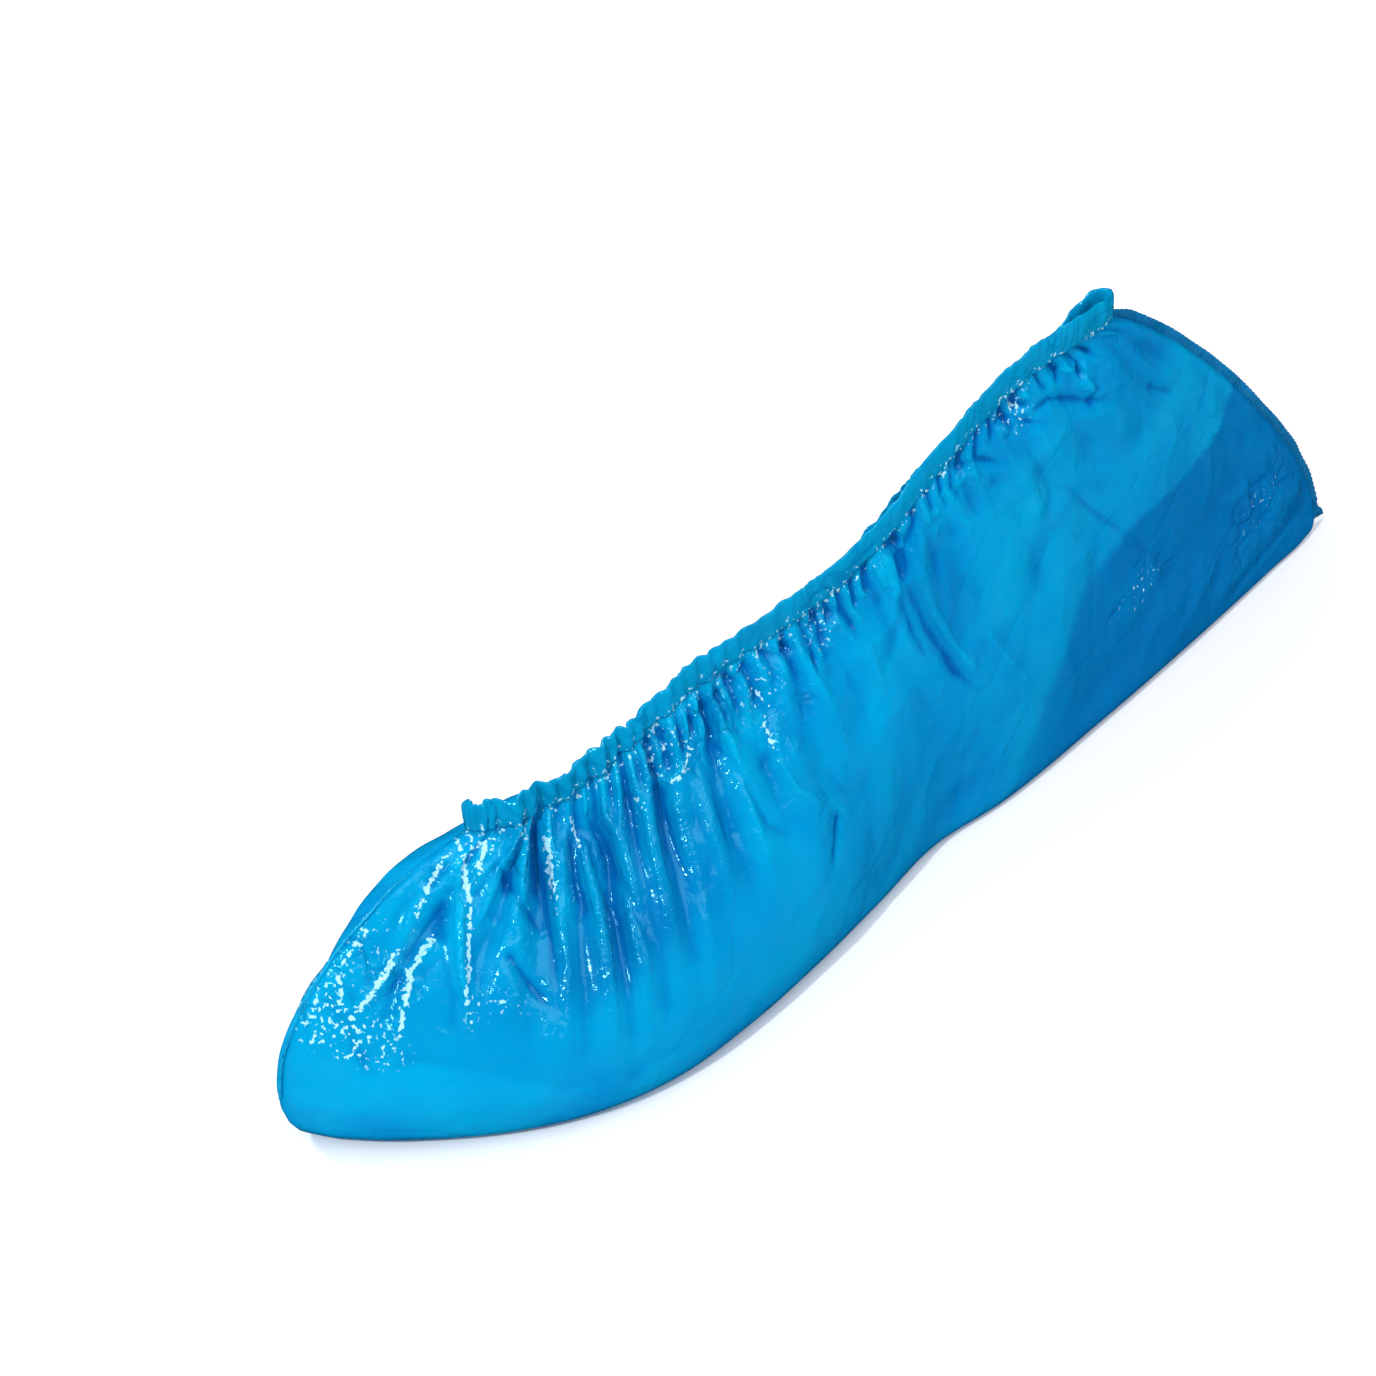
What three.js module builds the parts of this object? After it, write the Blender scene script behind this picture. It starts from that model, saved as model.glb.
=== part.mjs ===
// Shoe cover of thin blue film, open at the top, standing on its sole.
// One film makes the sole, the sides and the rounded toe. Its two halves are welded together
// down the heel and over the toe, and its open edge is folded over an elastic band, which
// draws the edge up into gathers. The heel end is a nearly flat pocket, as it comes folded.
//
// Millimetres, +Z up. The toe points to -Y, the heel to +Y, and +X is the wearer's right.
// The origin is under the middle of the cover, on the ground.
// Places along the cover are given as "ahead": the distance forward of its rearmost edge.

import * as THREE from "three";
import { mergeVertices } from "three/addons/utils/BufferGeometryUtils.js";

// Driving dimensions
const LENGTH = 340;
const FILM_WALL = 1.5;
const SEAT_GAP = 0.3;

// Welded seams that stand out from the film as flat fins
const SEAM_THICKNESS = 1.2;
const SEAM_GAP = 0.6;
const HEEL_SEAM_WIDTH = 2.6;
const TOE_SEAM_WIDTH = 2.2;
const HEEL_SEAM_FOOT = 0.6;
const HEEL_CORNER_AHEAD = 87;
const HEEL_CORNER_ROWS = 4;

// Hem folded over the elastic band. Its legs straddle the upright collar of the film.
const COLLAR_HEIGHT = 4.4;
const HEM_FILM = 1.0;
const HEM_LEG = 3.0;
const ELASTIC_WIDTH = 1.1;
const ELASTIC_HEIGHT = 1.5;
const ELASTIC_GAP = 0.5;

// Outline of one half, from the toe seam round to the heel seam. The other half mirrors it.
//   ahead, half    the widest line of the side wall, and its distance from the middle
//   tuck, belly    how far the sole's edge lies inside that line, and the line's height
//   rimAhead, rimHalf, rimTop   the top of the hem above the same place
//   lean           the mouth leans over: the hem lies this much higher on +X, lower on -X
//   rise           how far the wall goes on straight up from its widest line
//   reach, drop    how far outward and downward the wall runs as it leaves the rim
//   steps          mesh divisions up to the next row
const OUTLINE = [
  { name: "toe_tip", ahead: 337.4, half: 0, tuck: 9, belly: 15,
    rimAhead: 284, rimHalf: 0, rimTop: 66.5, lean: 0, rise: 23, reach: 28, drop: 0, steps: 2 },
  { name: "toe_nose", ahead: 334.4, half: 6.4, tuck: 9, belly: 15,
    rimAhead: 283.0, rimHalf: 2.3, rimTop: 66, lean: 0.8, rise: 21, reach: 24, drop: 4, steps: 2 },
  { name: "toe_corner", ahead: 327, half: 14.2, tuck: 8, belly: 14,
    rimAhead: 280.8, rimHalf: 3.8, rimTop: 64.5, lean: 2.4, rise: 19, reach: 19, drop: 9, steps: 4 },
  { name: "toe_side", ahead: 316, half: 23.6, tuck: 8, belly: 13,
    rimAhead: 276.5, rimHalf: 5.2, rimTop: 62, lean: 5, rise: 18, reach: 14, drop: 13, steps: 6 },
  { name: "toe_cheek", ahead: 302, half: 32.8, tuck: 7, belly: 13,
    rimAhead: 270, rimHalf: 6.6, rimTop: 59, lean: 8.6, rise: 18, reach: 12, drop: 14, steps: 7 },
  { name: "ball_front", ahead: 284, half: 41, tuck: 7, belly: 12,
    rimAhead: 260, rimHalf: 7.8, rimTop: 57.5, lean: 10.6, rise: 19, reach: 13, drop: 13, steps: 7 },
  { name: "ball", ahead: 262, half: 45, tuck: 7, belly: 12,
    rimAhead: 246, rimHalf: 8.6, rimTop: 62, lean: 11.6, rise: 22, reach: 14, drop: 13, steps: 7 },
  { name: "instep", ahead: 240, half: 43.6, tuck: 7, belly: 12,
    rimAhead: 230, rimHalf: 8.9, rimTop: 66.5, lean: 12.2, rise: 24, reach: 13, drop: 16, steps: 5 },
  { name: "arch_front", ahead: 215, half: 39, tuck: 6, belly: 11,
    rimAhead: 212, rimHalf: 9.0, rimTop: 69, lean: 12.4, rise: 26, reach: 11, drop: 19, steps: 4 },
  { name: "arch", ahead: 190, half: 33, tuck: 5, belly: 10,
    rimAhead: 193, rimHalf: 9.0, rimTop: 71, lean: 12.4, rise: 28, reach: 9, drop: 22, steps: 4 },
  { name: "waist", ahead: 166, half: 26.8, tuck: 4, belly: 8,
    rimAhead: 174, rimHalf: 8.9, rimTop: 77, lean: 12.2, rise: 29, reach: 8, drop: 25, steps: 5 },
  { name: "heel_front", ahead: 145, half: 26, tuck: 3, belly: 6,
    rimAhead: 158, rimHalf: 8.6, rimTop: 87.5, lean: 11.6, rise: 31, reach: 6, drop: 30, steps: 5 },
  { name: "heel_side", ahead: 105, half: 21, tuck: 3, belly: 5,
    rimAhead: 134, rimHalf: 8.0, rimTop: 100.5, lean: 10.4, rise: 32, reach: 8, drop: 30, steps: 4 },
  { name: "heel_taper", ahead: 60, half: 13.8, tuck: 2.5, belly: 4,
    rimAhead: 115, rimHalf: 7.0, rimTop: 105.5, lean: 8.2, rise: 31, reach: 14, drop: 18, steps: 3 },
  { name: "heel_quarter", ahead: 28, half: 7.8, tuck: 2, belly: 3,
    rimAhead: 103, rimHalf: 5.8, rimTop: 108, lean: 5.0, rise: 27, reach: 18, drop: 9, steps: 2 },
  { name: "heel_turn", ahead: 12.5, half: 4.8, tuck: 1.6, belly: 3,
    rimAhead: 96.8, rimHalf: 4.4, rimTop: 110, lean: 2.4, rise: 25, reach: 20, drop: 7, steps: 2 },
  { name: "heel_back", ahead: 7.2, half: 2.7, tuck: 1.3, belly: 3,
    rimAhead: 94.0, rimHalf: 2.7, rimTop: 111, lean: 1.0, rise: 24, reach: 20, drop: 6, steps: 2 },
  { name: "heel_nub", ahead: 5.9, half: 0, tuck: 1.2, belly: 3,
    rimAhead: 92.8, rimHalf: 0, rimTop: 111, lean: 0, rise: 24, reach: 20, drop: 6, steps: 0 },
];

// Levels of the mesh: on the rounded lower edge, then up the side wall
const EDGE_SHARES = [0, 0.5, 1];
const WALL_SHARES = [0.1, 0.22, 0.36, 0.5, 0.64, 0.78, 0.9, 1];

// Gathers, as valleys that run down from the rim.
//   along     where it leaves the rim, from the mouth's front end; minus is the -X half
//   half      half its width, measured at the rim; it fans out on its way down
//   depth     how far the film sinks in
//   peak      distance below the rim where it is deepest
//   run       its whole length
const GATHERS = [
  { along: 2.4, half: 1.6, depth: 1.0, peak: 23, run: 62 },
  { along: 5.6, half: 1.9, depth: 1.5, peak: 19, run: 58 },
  { along: 11.5, half: 2.7, depth: 2.2, peak: 15, run: 60 },
  { along: 18.5, half: 3.2, depth: 3.0, peak: 16, run: 72 },
  { along: 25.5, half: 3.2, depth: 2.8, peak: 17, run: 74 },
  { along: 32, half: 3.0, depth: 3.0, peak: 17, run: 78 },
  { along: 38.5, half: 3.2, depth: 2.4, peak: 18, run: 70 },
  { along: 45.5, half: 3.4, depth: 2.4, peak: 19, run: 72 },
  { along: 53, half: 3.8, depth: 2.0, peak: 17, run: 56 },
  { along: 62, half: 4.4, depth: 2.0, peak: 19, run: 60 },
  { along: 72, half: 4.8, depth: 1.5, peak: 19, run: 50 },
  { along: -3.4, half: 1.6, depth: 1.2, peak: 21, run: 60 },
  { along: -8.4, half: 2.3, depth: 1.8, peak: 17, run: 58 },
  { along: -15, half: 3.0, depth: 2.6, peak: 15, run: 66 },
  { along: -22, half: 3.2, depth: 2.8, peak: 17, run: 74 },
  { along: -29, half: 3.2, depth: 2.6, peak: 17, run: 72 },
  { along: -36, half: 3.3, depth: 2.6, peak: 18, run: 74 },
  { along: -43.5, half: 3.5, depth: 2.2, peak: 19, run: 66 },
  { along: -52, half: 4.0, depth: 2.0, peak: 18, run: 62 },
  { along: -62, half: 4.4, depth: 1.8, peak: 19, run: 56 },
  { along: -73, half: 4.8, depth: 1.4, peak: 19, run: 48 },
];

// Short puckers under the rear half of the rim, as a row with a pitch on each half
const PUCKERS = { from: 102, to: 172, pitch: 8.8, half: 4.2, depth: 1.3, peak: 6, run: 18 };

// Single dents.
//   along, below      centre, by the same measures
//   wide, high        half sizes
//   depth             how far the film sinks in
const DENTS = [
  { name: "pocket", along: 58, below: 12, wide: 8, high: 8, depth: 2.4 },
  { name: "ankle_fold", along: 113, below: 14, wide: 5, high: 24, depth: 2.2 },
  { name: "ankle_fold_far", along: -110, below: 14, wide: 6, high: 22, depth: 1.8 },
  { name: "quarter_hollow", along: 150, below: 46, wide: 34, high: 30, depth: 1.8 },
  { name: "quarter_hollow_far", along: -148, below: 46, wide: 34, high: 30, depth: 1.8 },
];

// Finishes
const FILM_FINISH = { color: 0x0a8fd0, roughness: 0.28, metalness: 0 };
const HEM_FINISH = { color: 0x0aa0cf, roughness: 0.3, metalness: 0 };
const SEAM_FINISH = { color: 0x0b84c4, roughness: 0.35, metalness: 0 };
const ELASTIC_FINISH = { color: 0xdde6ea, roughness: 0.7, metalness: 0 };

const UP = new THREE.Vector3(0, 0, 1);
const SHARE_STEP = 1e-3;
const MERGE_DISTANCE = 1e-4;

// Both halves of the outline as one loop of rows, the second half mirrored
function outlineLoop() {
  const near = OUTLINE.map((row) => ({ ...row }));
  const far = OUTLINE.slice(1, -1).reverse().map((row) => ({
    ...row,
    half: -row.half,
    rimHalf: -row.rimHalf,
    lean: -row.lean,
    steps: OUTLINE[OUTLINE.findIndex((other) => other.name === row.name) - 1].steps,
  }));
  near[near.length - 1].steps = OUTLINE[OUTLINE.length - 2].steps;
  return [...near, ...far];
}

// Smooth closed curve through the rows, for each column, by distance along the widest line
function loopSpline(rows) {
  const count = rows.length;
  const knots = [0];
  for (let i = 0; i < count; i += 1) {
    const a = rows[i];
    const b = rows[(i + 1) % count];
    knots.push(knots[i] + Math.hypot(b.ahead - a.ahead, b.half - a.half));
  }
  const total = knots[count];
  const row = (i) => rows[((i % count) + count) % count];
  const span = (i) => knots[(((i % count) + count) % count) + 1] - knots[((i % count) + count) % count];
  const slope = (i, column) => {
    const before = span(i - 1);
    const after = span(i);
    const rateBefore = (row(i)[column] - row(i - 1)[column]) / before;
    const rateAfter = (row(i + 1)[column] - row(i)[column]) / after;
    return (rateBefore * after + rateAfter * before) / (before + after);
  };
  const value = (place, column) => {
    const at = ((place % total) + total) % total;
    let i = 0;
    while (i < count - 1 && knots[i + 1] <= at) i += 1;
    const width = span(i);
    const s = (at - knots[i]) / width;
    const s2 = s * s;
    const s3 = s2 * s;
    return (2 * s3 - 3 * s2 + 1) * row(i)[column]
      + (s3 - 2 * s2 + s) * width * slope(i, column)
      + (3 * s2 - 2 * s3) * row(i + 1)[column]
      + (s3 - s2) * width * slope(i + 1, column);
  };
  return { knots, total, value };
}

const rows = outlineLoop();
const spline = loopSpline(rows);

// Places of the mesh columns round the loop
const columns = rows.flatMap((row, i) => Array.from(
  { length: row.steps },
  (_, step) => spline.knots[i] + (step / row.steps) * (spline.knots[i + 1] - spline.knots[i]),
));
const TOE_COLUMN = 0;
const HEEL_COLUMN = columns.length / 2;

// A plan point and its outward direction, for one pair of columns of the outline table
function planPoint(place, aheadColumn, halfColumn) {
  const point = (at) => new THREE.Vector3(
    spline.value(at, halfColumn),
    LENGTH / 2 - spline.value(at, aheadColumn),
    0,
  );
  const ahead = point(place + SHARE_STEP * spline.total);
  const behind = point(place - SHARE_STEP * spline.total);
  const outward = ahead.sub(behind).cross(UP).normalize();
  return { point: point(place), outward };
}

// Everything about the rim at one place: the film's upper edge stands below the hem's top.
const HEM_CAP = ELASTIC_GAP + ELASTIC_HEIGHT + ELASTIC_GAP + HEM_FILM;
function rimAt(place) {
  const { point, outward } = planPoint(place, "rimAhead", "rimHalf");
  point.z = spline.value(place, "rimTop") + spline.value(place, "lean") - HEM_CAP;
  return { point, outward };
}

// Undisturbed outer face of the film: levels 0 to 1 run over the rounded lower edge,
// 1 to 2 up the side wall to the foot of the collar.
function smoothFace(place, level) {
  const { point: widest, outward } = planPoint(place, "ahead", "half");
  const tuck = spline.value(place, "tuck");
  const belly = spline.value(place, "belly");
  if (level <= 1) {
    const angle = level * Math.PI / 2;
    return widest.addScaledVector(outward, -tuck * (1 - Math.sin(angle)))
      .setZ(belly * (1 - Math.cos(angle)));
  }
  const top = rimAt(place).point.addScaledVector(UP, -COLLAR_HEIGHT);
  widest.setZ(belly);
  const aside = new THREE.Vector3(widest.x - top.x, widest.y - top.y, 0).normalize();
  const lower = widest.clone().addScaledVector(UP, spline.value(place, "rise"));
  const upper = top.clone()
    .addScaledVector(aside, spline.value(place, "reach"))
    .addScaledVector(UP, -spline.value(place, "drop"));
  return new THREE.CubicBezierCurve3(widest, lower, upper, top).getPoint(level - 1);
}

function smoothNormal(place, level) {
  const step = SHARE_STEP * spline.total;
  const across = smoothFace(place + step, level).sub(smoothFace(place - step, level));
  const low = Math.max(level - 2 * SHARE_STEP, level <= 1 ? 0 : 1);
  const high = Math.min(level + 2 * SHARE_STEP, level < 1 ? 1 : 2);
  const upward = smoothFace(place, high).sub(smoothFace(place, low));
  return across.cross(upward).normalize();
}

// A smooth hump: 1 at the middle and 0 from one half width on
function hump(offset, halfWidth) {
  const share = Math.abs(offset) / halfWidth;
  return share >= 1 ? 0 : Math.cos(share * Math.PI / 2) ** 2;
}

// Rises to 1 at the peak and dies away over the run
function runOff(below, peak, run) {
  if (below <= 0 || below >= run) return 0;
  return below < peak ? Math.sin((below / peak) * Math.PI / 2) ** 2
    : Math.cos(((below - peak) / (run - peak)) * Math.PI / 2) ** 2;
}

// How far the film sinks in at a place, by its distance along the rim and below it
function sink(along, below) {
  let depth = 0;
  for (const gather of GATHERS) {
    depth += gather.depth * hump(along - gather.along, gather.half)
      * runOff(below, gather.peak, gather.run);
  }
  const rear = Math.abs(along);
  if (rear > PUCKERS.from && rear < PUCKERS.to) {
    const offset = ((rear - PUCKERS.from) % PUCKERS.pitch) - PUCKERS.pitch / 2;
    depth += PUCKERS.depth * hump(offset, PUCKERS.half)
      * runOff(below, PUCKERS.peak, PUCKERS.run);
  }
  for (const dent of DENTS) {
    depth += dent.depth * hump(along - dent.along, dent.wide)
      * hump(below - dent.below, dent.high);
  }
  return depth;
}

// Distance of each column along the rim, from the mouth's front end, minus on the -X half
function rimDistances() {
  const half = [0];
  for (let i = 1; i <= HEEL_COLUMN; i += 1) {
    const step = rimAt(columns[i]).point.distanceTo(rimAt(columns[i - 1]).point);
    half.push(half[i - 1] + step);
  }
  const whole = half.slice();
  for (let i = HEEL_COLUMN + 1; i < columns.length; i += 1) {
    whole.push(-half[columns.length - i]);
  }
  return whole;
}

// Outer and inner faces of the film, ring by ring from the sole's edge to the rim
function filmRings() {
  const levels = [...EDGE_SHARES, ...WALL_SHARES.map((share) => 1 + share)];
  const alongs = rimDistances();
  const outer = levels.map(() => []);
  const inner = levels.map(() => []);
  columns.forEach((place, i) => {
    const points = levels.map((level) => smoothFace(place, level));
    const top = points.length - 1;
    let below = 0;
    for (let k = top; k >= 0; k -= 1) {
      if (k < top) below += points[k].distanceTo(points[k + 1]);
      const normal = smoothNormal(place, levels[k]);
      const depth = levels[k] <= 1 ? 0 : sink(alongs[i], below);
      outer[k].push(points[k].clone().addScaledVector(normal, -depth));
      inner[k].push(points[k].clone().addScaledVector(normal, -depth - FILM_WALL));
    }
  });
  const collar = columns.map((place) => rimAt(place));
  outer[levels.length - 1] = collar.map(({ point }) => point.clone().addScaledVector(UP, -COLLAR_HEIGHT));
  inner[levels.length - 1] = collar.map(({ point, outward }) => point.clone()
    .addScaledVector(UP, -COLLAR_HEIGHT)
    .addScaledVector(outward, -FILM_WALL));
  outer.push(collar.map(({ point }) => point.clone()));
  inner.push(collar.map(({ point, outward }) => point.clone().addScaledVector(outward, -FILM_WALL)));
  inner[0].forEach((point, i) => point.copy(outer[0][i]).setZ(FILM_WALL));
  return { outer, inner };
}

// A closed surface, built up from loops of points that are joined by bands
class Skin {
  constructor() {
    this.positions = [];
    this.triangles = [];
  }

  addLoop(points) {
    const start = this.positions.length / 3;
    points.forEach((point) => this.positions.push(point.x, point.y, point.z));
    return points.map((_, i) => start + i);
  }

  quad(a, b, c, d) {
    this.triangles.push(a, b, c, a, c, d);
  }

  // Joins two loops. Its quads are cut from corner to corner, the other way where crossed is
  // set, so that faces that lie close together are cut alike and never cross.
  band(lower, upper, crossed = false) {
    lower.forEach((_, i) => {
      const next = (i + 1) % lower.length;
      const corners = [lower[i], lower[next], upper[next], upper[i]];
      if (crossed) corners.push(corners.shift());
      this.quad(...corners);
    });
  }

  // Flat face across a mirrored loop, from its first point to its middle one
  across(loop, facingDown) {
    const half = loop.length / 2;
    for (let i = 0; i < half; i += 1) {
      const right = [loop[i], loop[i + 1]];
      const left = [loop[(loop.length - i) % loop.length], loop[loop.length - i - 1]];
      const quad = [right[0], left[0], left[1], right[1]];
      if (!facingDown) quad.reverse();
      this.quad(...quad);
    }
  }

  // Turns all its triangles round where the surface would otherwise be inside out
  facingOut() {
    const corner = (i) => new THREE.Vector3().fromArray(this.positions, 3 * i);
    let volume = 0;
    for (let i = 0; i < this.triangles.length; i += 3) {
      const [a, b, c] = this.triangles.slice(i, i + 3).map(corner);
      volume += a.dot(b.cross(c));
    }
    if (volume < 0) this.triangles.reverse();
    return this;
  }

  geometry() {
    const raw = new THREE.BufferGeometry();
    raw.setAttribute("position", new THREE.Float32BufferAttribute(this.positions, 3));
    raw.setIndex(this.triangles);
    const merged = mergeVertices(raw, MERGE_DISTANCE);
    const index = merged.getIndex().array;
    const kept = [];
    for (let i = 0; i < index.length; i += 3) {
      const [a, b, c] = [index[i], index[i + 1], index[i + 2]];
      if (a !== b && b !== c && c !== a) kept.push(a, b, c);
    }
    merged.setIndex(kept);
    merged.computeVertexNormals();
    return merged;
  }
}

function piece(name, geometry, finish) {
  const mesh = new THREE.Mesh(geometry, new THREE.MeshStandardMaterial(finish));
  mesh.name = name;
  return mesh;
}

const rings = filmRings();

// Sole, sides and toe in one film
function filmBody() {
  const skin = new Skin();
  const outer = rings.outer.map((ring) => skin.addLoop(ring));
  const inner = rings.inner.map((ring) => skin.addLoop(ring));
  for (let k = 0; k + 1 < outer.length; k += 1) {
    skin.band(outer[k], outer[k + 1]);
    skin.band(inner[k + 1], inner[k]);
  }
  skin.band(outer[outer.length - 1], inner[inner.length - 1], true);
  skin.across(outer[0], true);
  skin.across(inner[0], false);
  return piece("film_body", skin.geometry(), FILM_FINISH);
}

// A band that follows the rim. Its section lists [out, up] from the film's outer upper edge,
// in order round the section, anticlockwise as seen along the loop.
function rimBand(section) {
  const skin = new Skin();
  const collar = columns.map((place) => rimAt(place));
  const loops = section.map(([out, up]) => skin.addLoop(collar.map(({ point, outward }) => point
    .clone().addScaledVector(outward, out).addScaledVector(UP, up))));
  loops.forEach((loop, k) => {
    const next = (k + 1) % loops.length;
    skin.band(loop, loops[next], section[next][0] < section[k][0]);
  });
  return skin.geometry();
}

function mouthHem() {
  const outside = SEAT_GAP + HEM_FILM;
  const inside = -FILM_WALL - SEAT_GAP - HEM_FILM;
  return piece("mouth_hem", rimBand([
    [outside, -HEM_LEG],
    [outside, HEM_CAP],
    [inside, HEM_CAP],
    [inside, -HEM_LEG],
    [inside + HEM_FILM, -HEM_LEG],
    [inside + HEM_FILM, HEM_CAP - HEM_FILM],
    [outside - HEM_FILM, HEM_CAP - HEM_FILM],
    [outside - HEM_FILM, -HEM_LEG],
  ]), HEM_FINISH);
}

function elasticBand() {
  const outside = -(FILM_WALL - ELASTIC_WIDTH) / 2;
  return piece("elastic_band", rimBand([
    [outside, ELASTIC_GAP],
    [outside, ELASTIC_GAP + ELASTIC_HEIGHT],
    [outside - ELASTIC_WIDTH, ELASTIC_GAP + ELASTIC_HEIGHT],
    [outside - ELASTIC_WIDTH, ELASTIC_GAP],
  ]), ELASTIC_FINISH);
}

// The film's own line in the middle plane, from its widest point up to the rim. Each point
// has the outward direction there, and the film's slope across the plane, for each side.
function middleLine(column) {
  const count = columns.length;
  const film = rings.outer.slice(EDGE_SHARES.length - 1);
  const line = film.map((ring) => ring[column].clone());
  return line.map((point, k) => {
    const before = line[Math.max(k - 1, 0)];
    const after = line[Math.min(k + 1, line.length - 1)];
    const along = after.clone().sub(before).normalize();
    const outward = new THREE.Vector3(0, along.z, -along.y);
    if (outward.y * point.y < 0) outward.negate();
    const across = [column + 1, column + count - 1]
      .map((neighbour) => film[k][neighbour % count].clone().sub(point))
      .map((step) => step.divideScalar(Math.abs(step.x)));
    const [left, right] = across[0].x < 0 ? across : across.reverse();
    return { point, outward, left, right };
  });
}

// A flat fin in the middle plane. Each row of its spine gives an inner and an outer point,
// and how the film slopes away on either side, which the fin follows to keep its gap.
function fin(spine) {
  const skin = new Skin();
  const shifted = (side, edge) => skin.addLoop(spine.map((row) => row[edge].clone()
    .addScaledVector(row[side], SEAM_THICKNESS / 2)));
  const [leftInner, leftOuter] = [shifted("left", "inner"), shifted("left", "outer")];
  const [rightInner, rightOuter] = [shifted("right", "inner"), shifted("right", "outer")];
  const last = spine.length - 1;
  for (let k = 0; k < last; k += 1) {
    skin.quad(leftInner[k], leftOuter[k], leftOuter[k + 1], leftInner[k + 1]);
    skin.quad(rightOuter[k], rightInner[k], rightInner[k + 1], rightOuter[k + 1]);
    skin.quad(leftOuter[k], rightOuter[k], rightOuter[k + 1], leftOuter[k + 1]);
    skin.quad(rightInner[k], leftInner[k], leftInner[k + 1], rightInner[k + 1]);
  }
  skin.quad(leftInner[0], rightInner[0], rightOuter[0], leftOuter[0]);
  skin.quad(rightInner[last], leftInner[last], leftOuter[last], rightOuter[last]);
  return skin.facingOut().geometry();
}

const LEVEL_LEFT = new THREE.Vector3(-1, 0, 0);
const LEVEL_RIGHT = new THREE.Vector3(1, 0, 0);

function finRow({ point, outward, left, right }, width) {
  const inner = point.clone().addScaledVector(outward, SEAM_GAP);
  return { inner, outer: inner.clone().addScaledVector(outward, width), left, right };
}

// Weld down the back of the heel. It ends in a corner on the ground and in one beside the hem.
function heelSeam() {
  const line = middleLine(HEEL_COLUMN);
  const rim = line[line.length - 1].point;
  const flank = line.slice(0, -2).map((row) => finRow(row, HEEL_SEAM_WIDTH));
  const level = { left: LEVEL_LEFT, right: LEVEL_RIGHT };
  const ground = {
    inner: line[0].point.clone().setY(line[0].point.y + SEAT_GAP).setZ(HEEL_SEAM_FOOT),
    outer: new THREE.Vector3(0, LENGTH / 2, HEEL_SEAM_FOOT),
    ...level,
  };
  const besideHem = rim.clone().setY(rim.y + SEAT_GAP + HEM_FILM + SEAT_GAP);
  const corner = new THREE.Vector3(0, LENGTH / 2 - HEEL_CORNER_AHEAD, rim.z + HEM_CAP);
  const hemFoot = { inner: besideHem.clone().setZ(rim.z - HEM_LEG), outer: corner, ...level };
  const hemTop = { inner: besideHem.clone().setZ(corner.z), outer: corner, ...level };
  const spine = [ground, ...flank, hemFoot, hemTop];
  const shoulder = spine.length - 1 - HEEL_CORNER_ROWS;
  const from = spine[shoulder].outer.clone();
  for (let k = 1; k <= HEEL_CORNER_ROWS; k += 1) {
    spine[shoulder + k].outer = from.clone().lerp(corner, k / HEEL_CORNER_ROWS);
  }
  return piece("heel_seam", fin(spine), SEAM_FINISH);
}

// Weld over the toe, from its foremost point to just below the hem
function toeSeam() {
  const spine = middleLine(TOE_COLUMN).slice(0, -2).map((row) => finRow(row, TOE_SEAM_WIDTH));
  return piece("toe_seam", fin(spine), SEAM_FINISH);
}

const group = new THREE.Group();
group.add(filmBody(), mouthHem(), elasticBand(), heelSeam(), toeSeam());

export default group;
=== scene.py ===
"""Shoe cover of thin blue film: a creased bag with a gathered elastic mouth and welded ends.

The outline is the same table as the solid model's, in millimetres. Places along the cover are
given as "ahead": millimetres forward of its rearmost edge. The toe points to -Y, +Z is up.
Places on the side wall are given as (along, below): millimetres along the rim from the mouth's
front end, minus on the -X half, and millimetres below the rim, measured down the film.
"""

import functools
import math

import bpy
import numpy as np
from bpy.props import FloatProperty, FloatVectorProperty, IntProperty, PointerProperty
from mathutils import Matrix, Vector


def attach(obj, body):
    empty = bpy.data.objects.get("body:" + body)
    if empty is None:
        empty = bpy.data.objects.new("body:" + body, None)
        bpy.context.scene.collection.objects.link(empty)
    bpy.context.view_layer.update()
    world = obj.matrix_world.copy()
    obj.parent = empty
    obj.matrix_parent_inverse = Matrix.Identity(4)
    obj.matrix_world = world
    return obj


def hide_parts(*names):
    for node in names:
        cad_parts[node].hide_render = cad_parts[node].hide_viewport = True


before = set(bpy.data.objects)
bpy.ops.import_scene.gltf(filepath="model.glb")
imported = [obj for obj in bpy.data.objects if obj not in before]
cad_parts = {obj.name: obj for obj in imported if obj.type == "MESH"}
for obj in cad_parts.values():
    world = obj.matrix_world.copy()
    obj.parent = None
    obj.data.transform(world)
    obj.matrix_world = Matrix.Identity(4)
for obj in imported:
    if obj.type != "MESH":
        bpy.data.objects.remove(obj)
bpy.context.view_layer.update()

bl_info = {
    "name": "Film shoe cover",
    "version": (1, 0, 0),
    "blender": (4, 5, 0),
    "location": "View3D > Sidebar > Shoe cover",
    "description": "Builds a disposable film shoe cover, piece by piece",
    "category": "Add Mesh",
}

MM = 0.001
LENGTH = 340.0
COLLAR_HEIGHT = 4.4
COLLAR_RINGS = (1.5, 3.0, COLLAR_HEIGHT)
# How far the hem reaches above the film's upper edge
HEM_CAP = 3.5
# Length of the rim on one side, from the mouth's front end to its rear one
RIM_RUN = 205
# Where the far half has slumped in beside the mouth's front: begins, full, fades, ends, in
# millimetres round the widest line from the toe
SLACK_SPAN = (14, 60, 130, 185)
# Where the far side of the toe is drawn in, and how far
PULL_SPAN = (0.5, 16, 34, 90)
FAR_PULL = 4.8
# Where the far half's own folds begin and are full, in millimetres along its rim
FAR_SIDE = (20, 60)
# Where short puckers stand close together under the rear rim, along it
PUCKER_SPAN = (88.0, 186)
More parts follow.
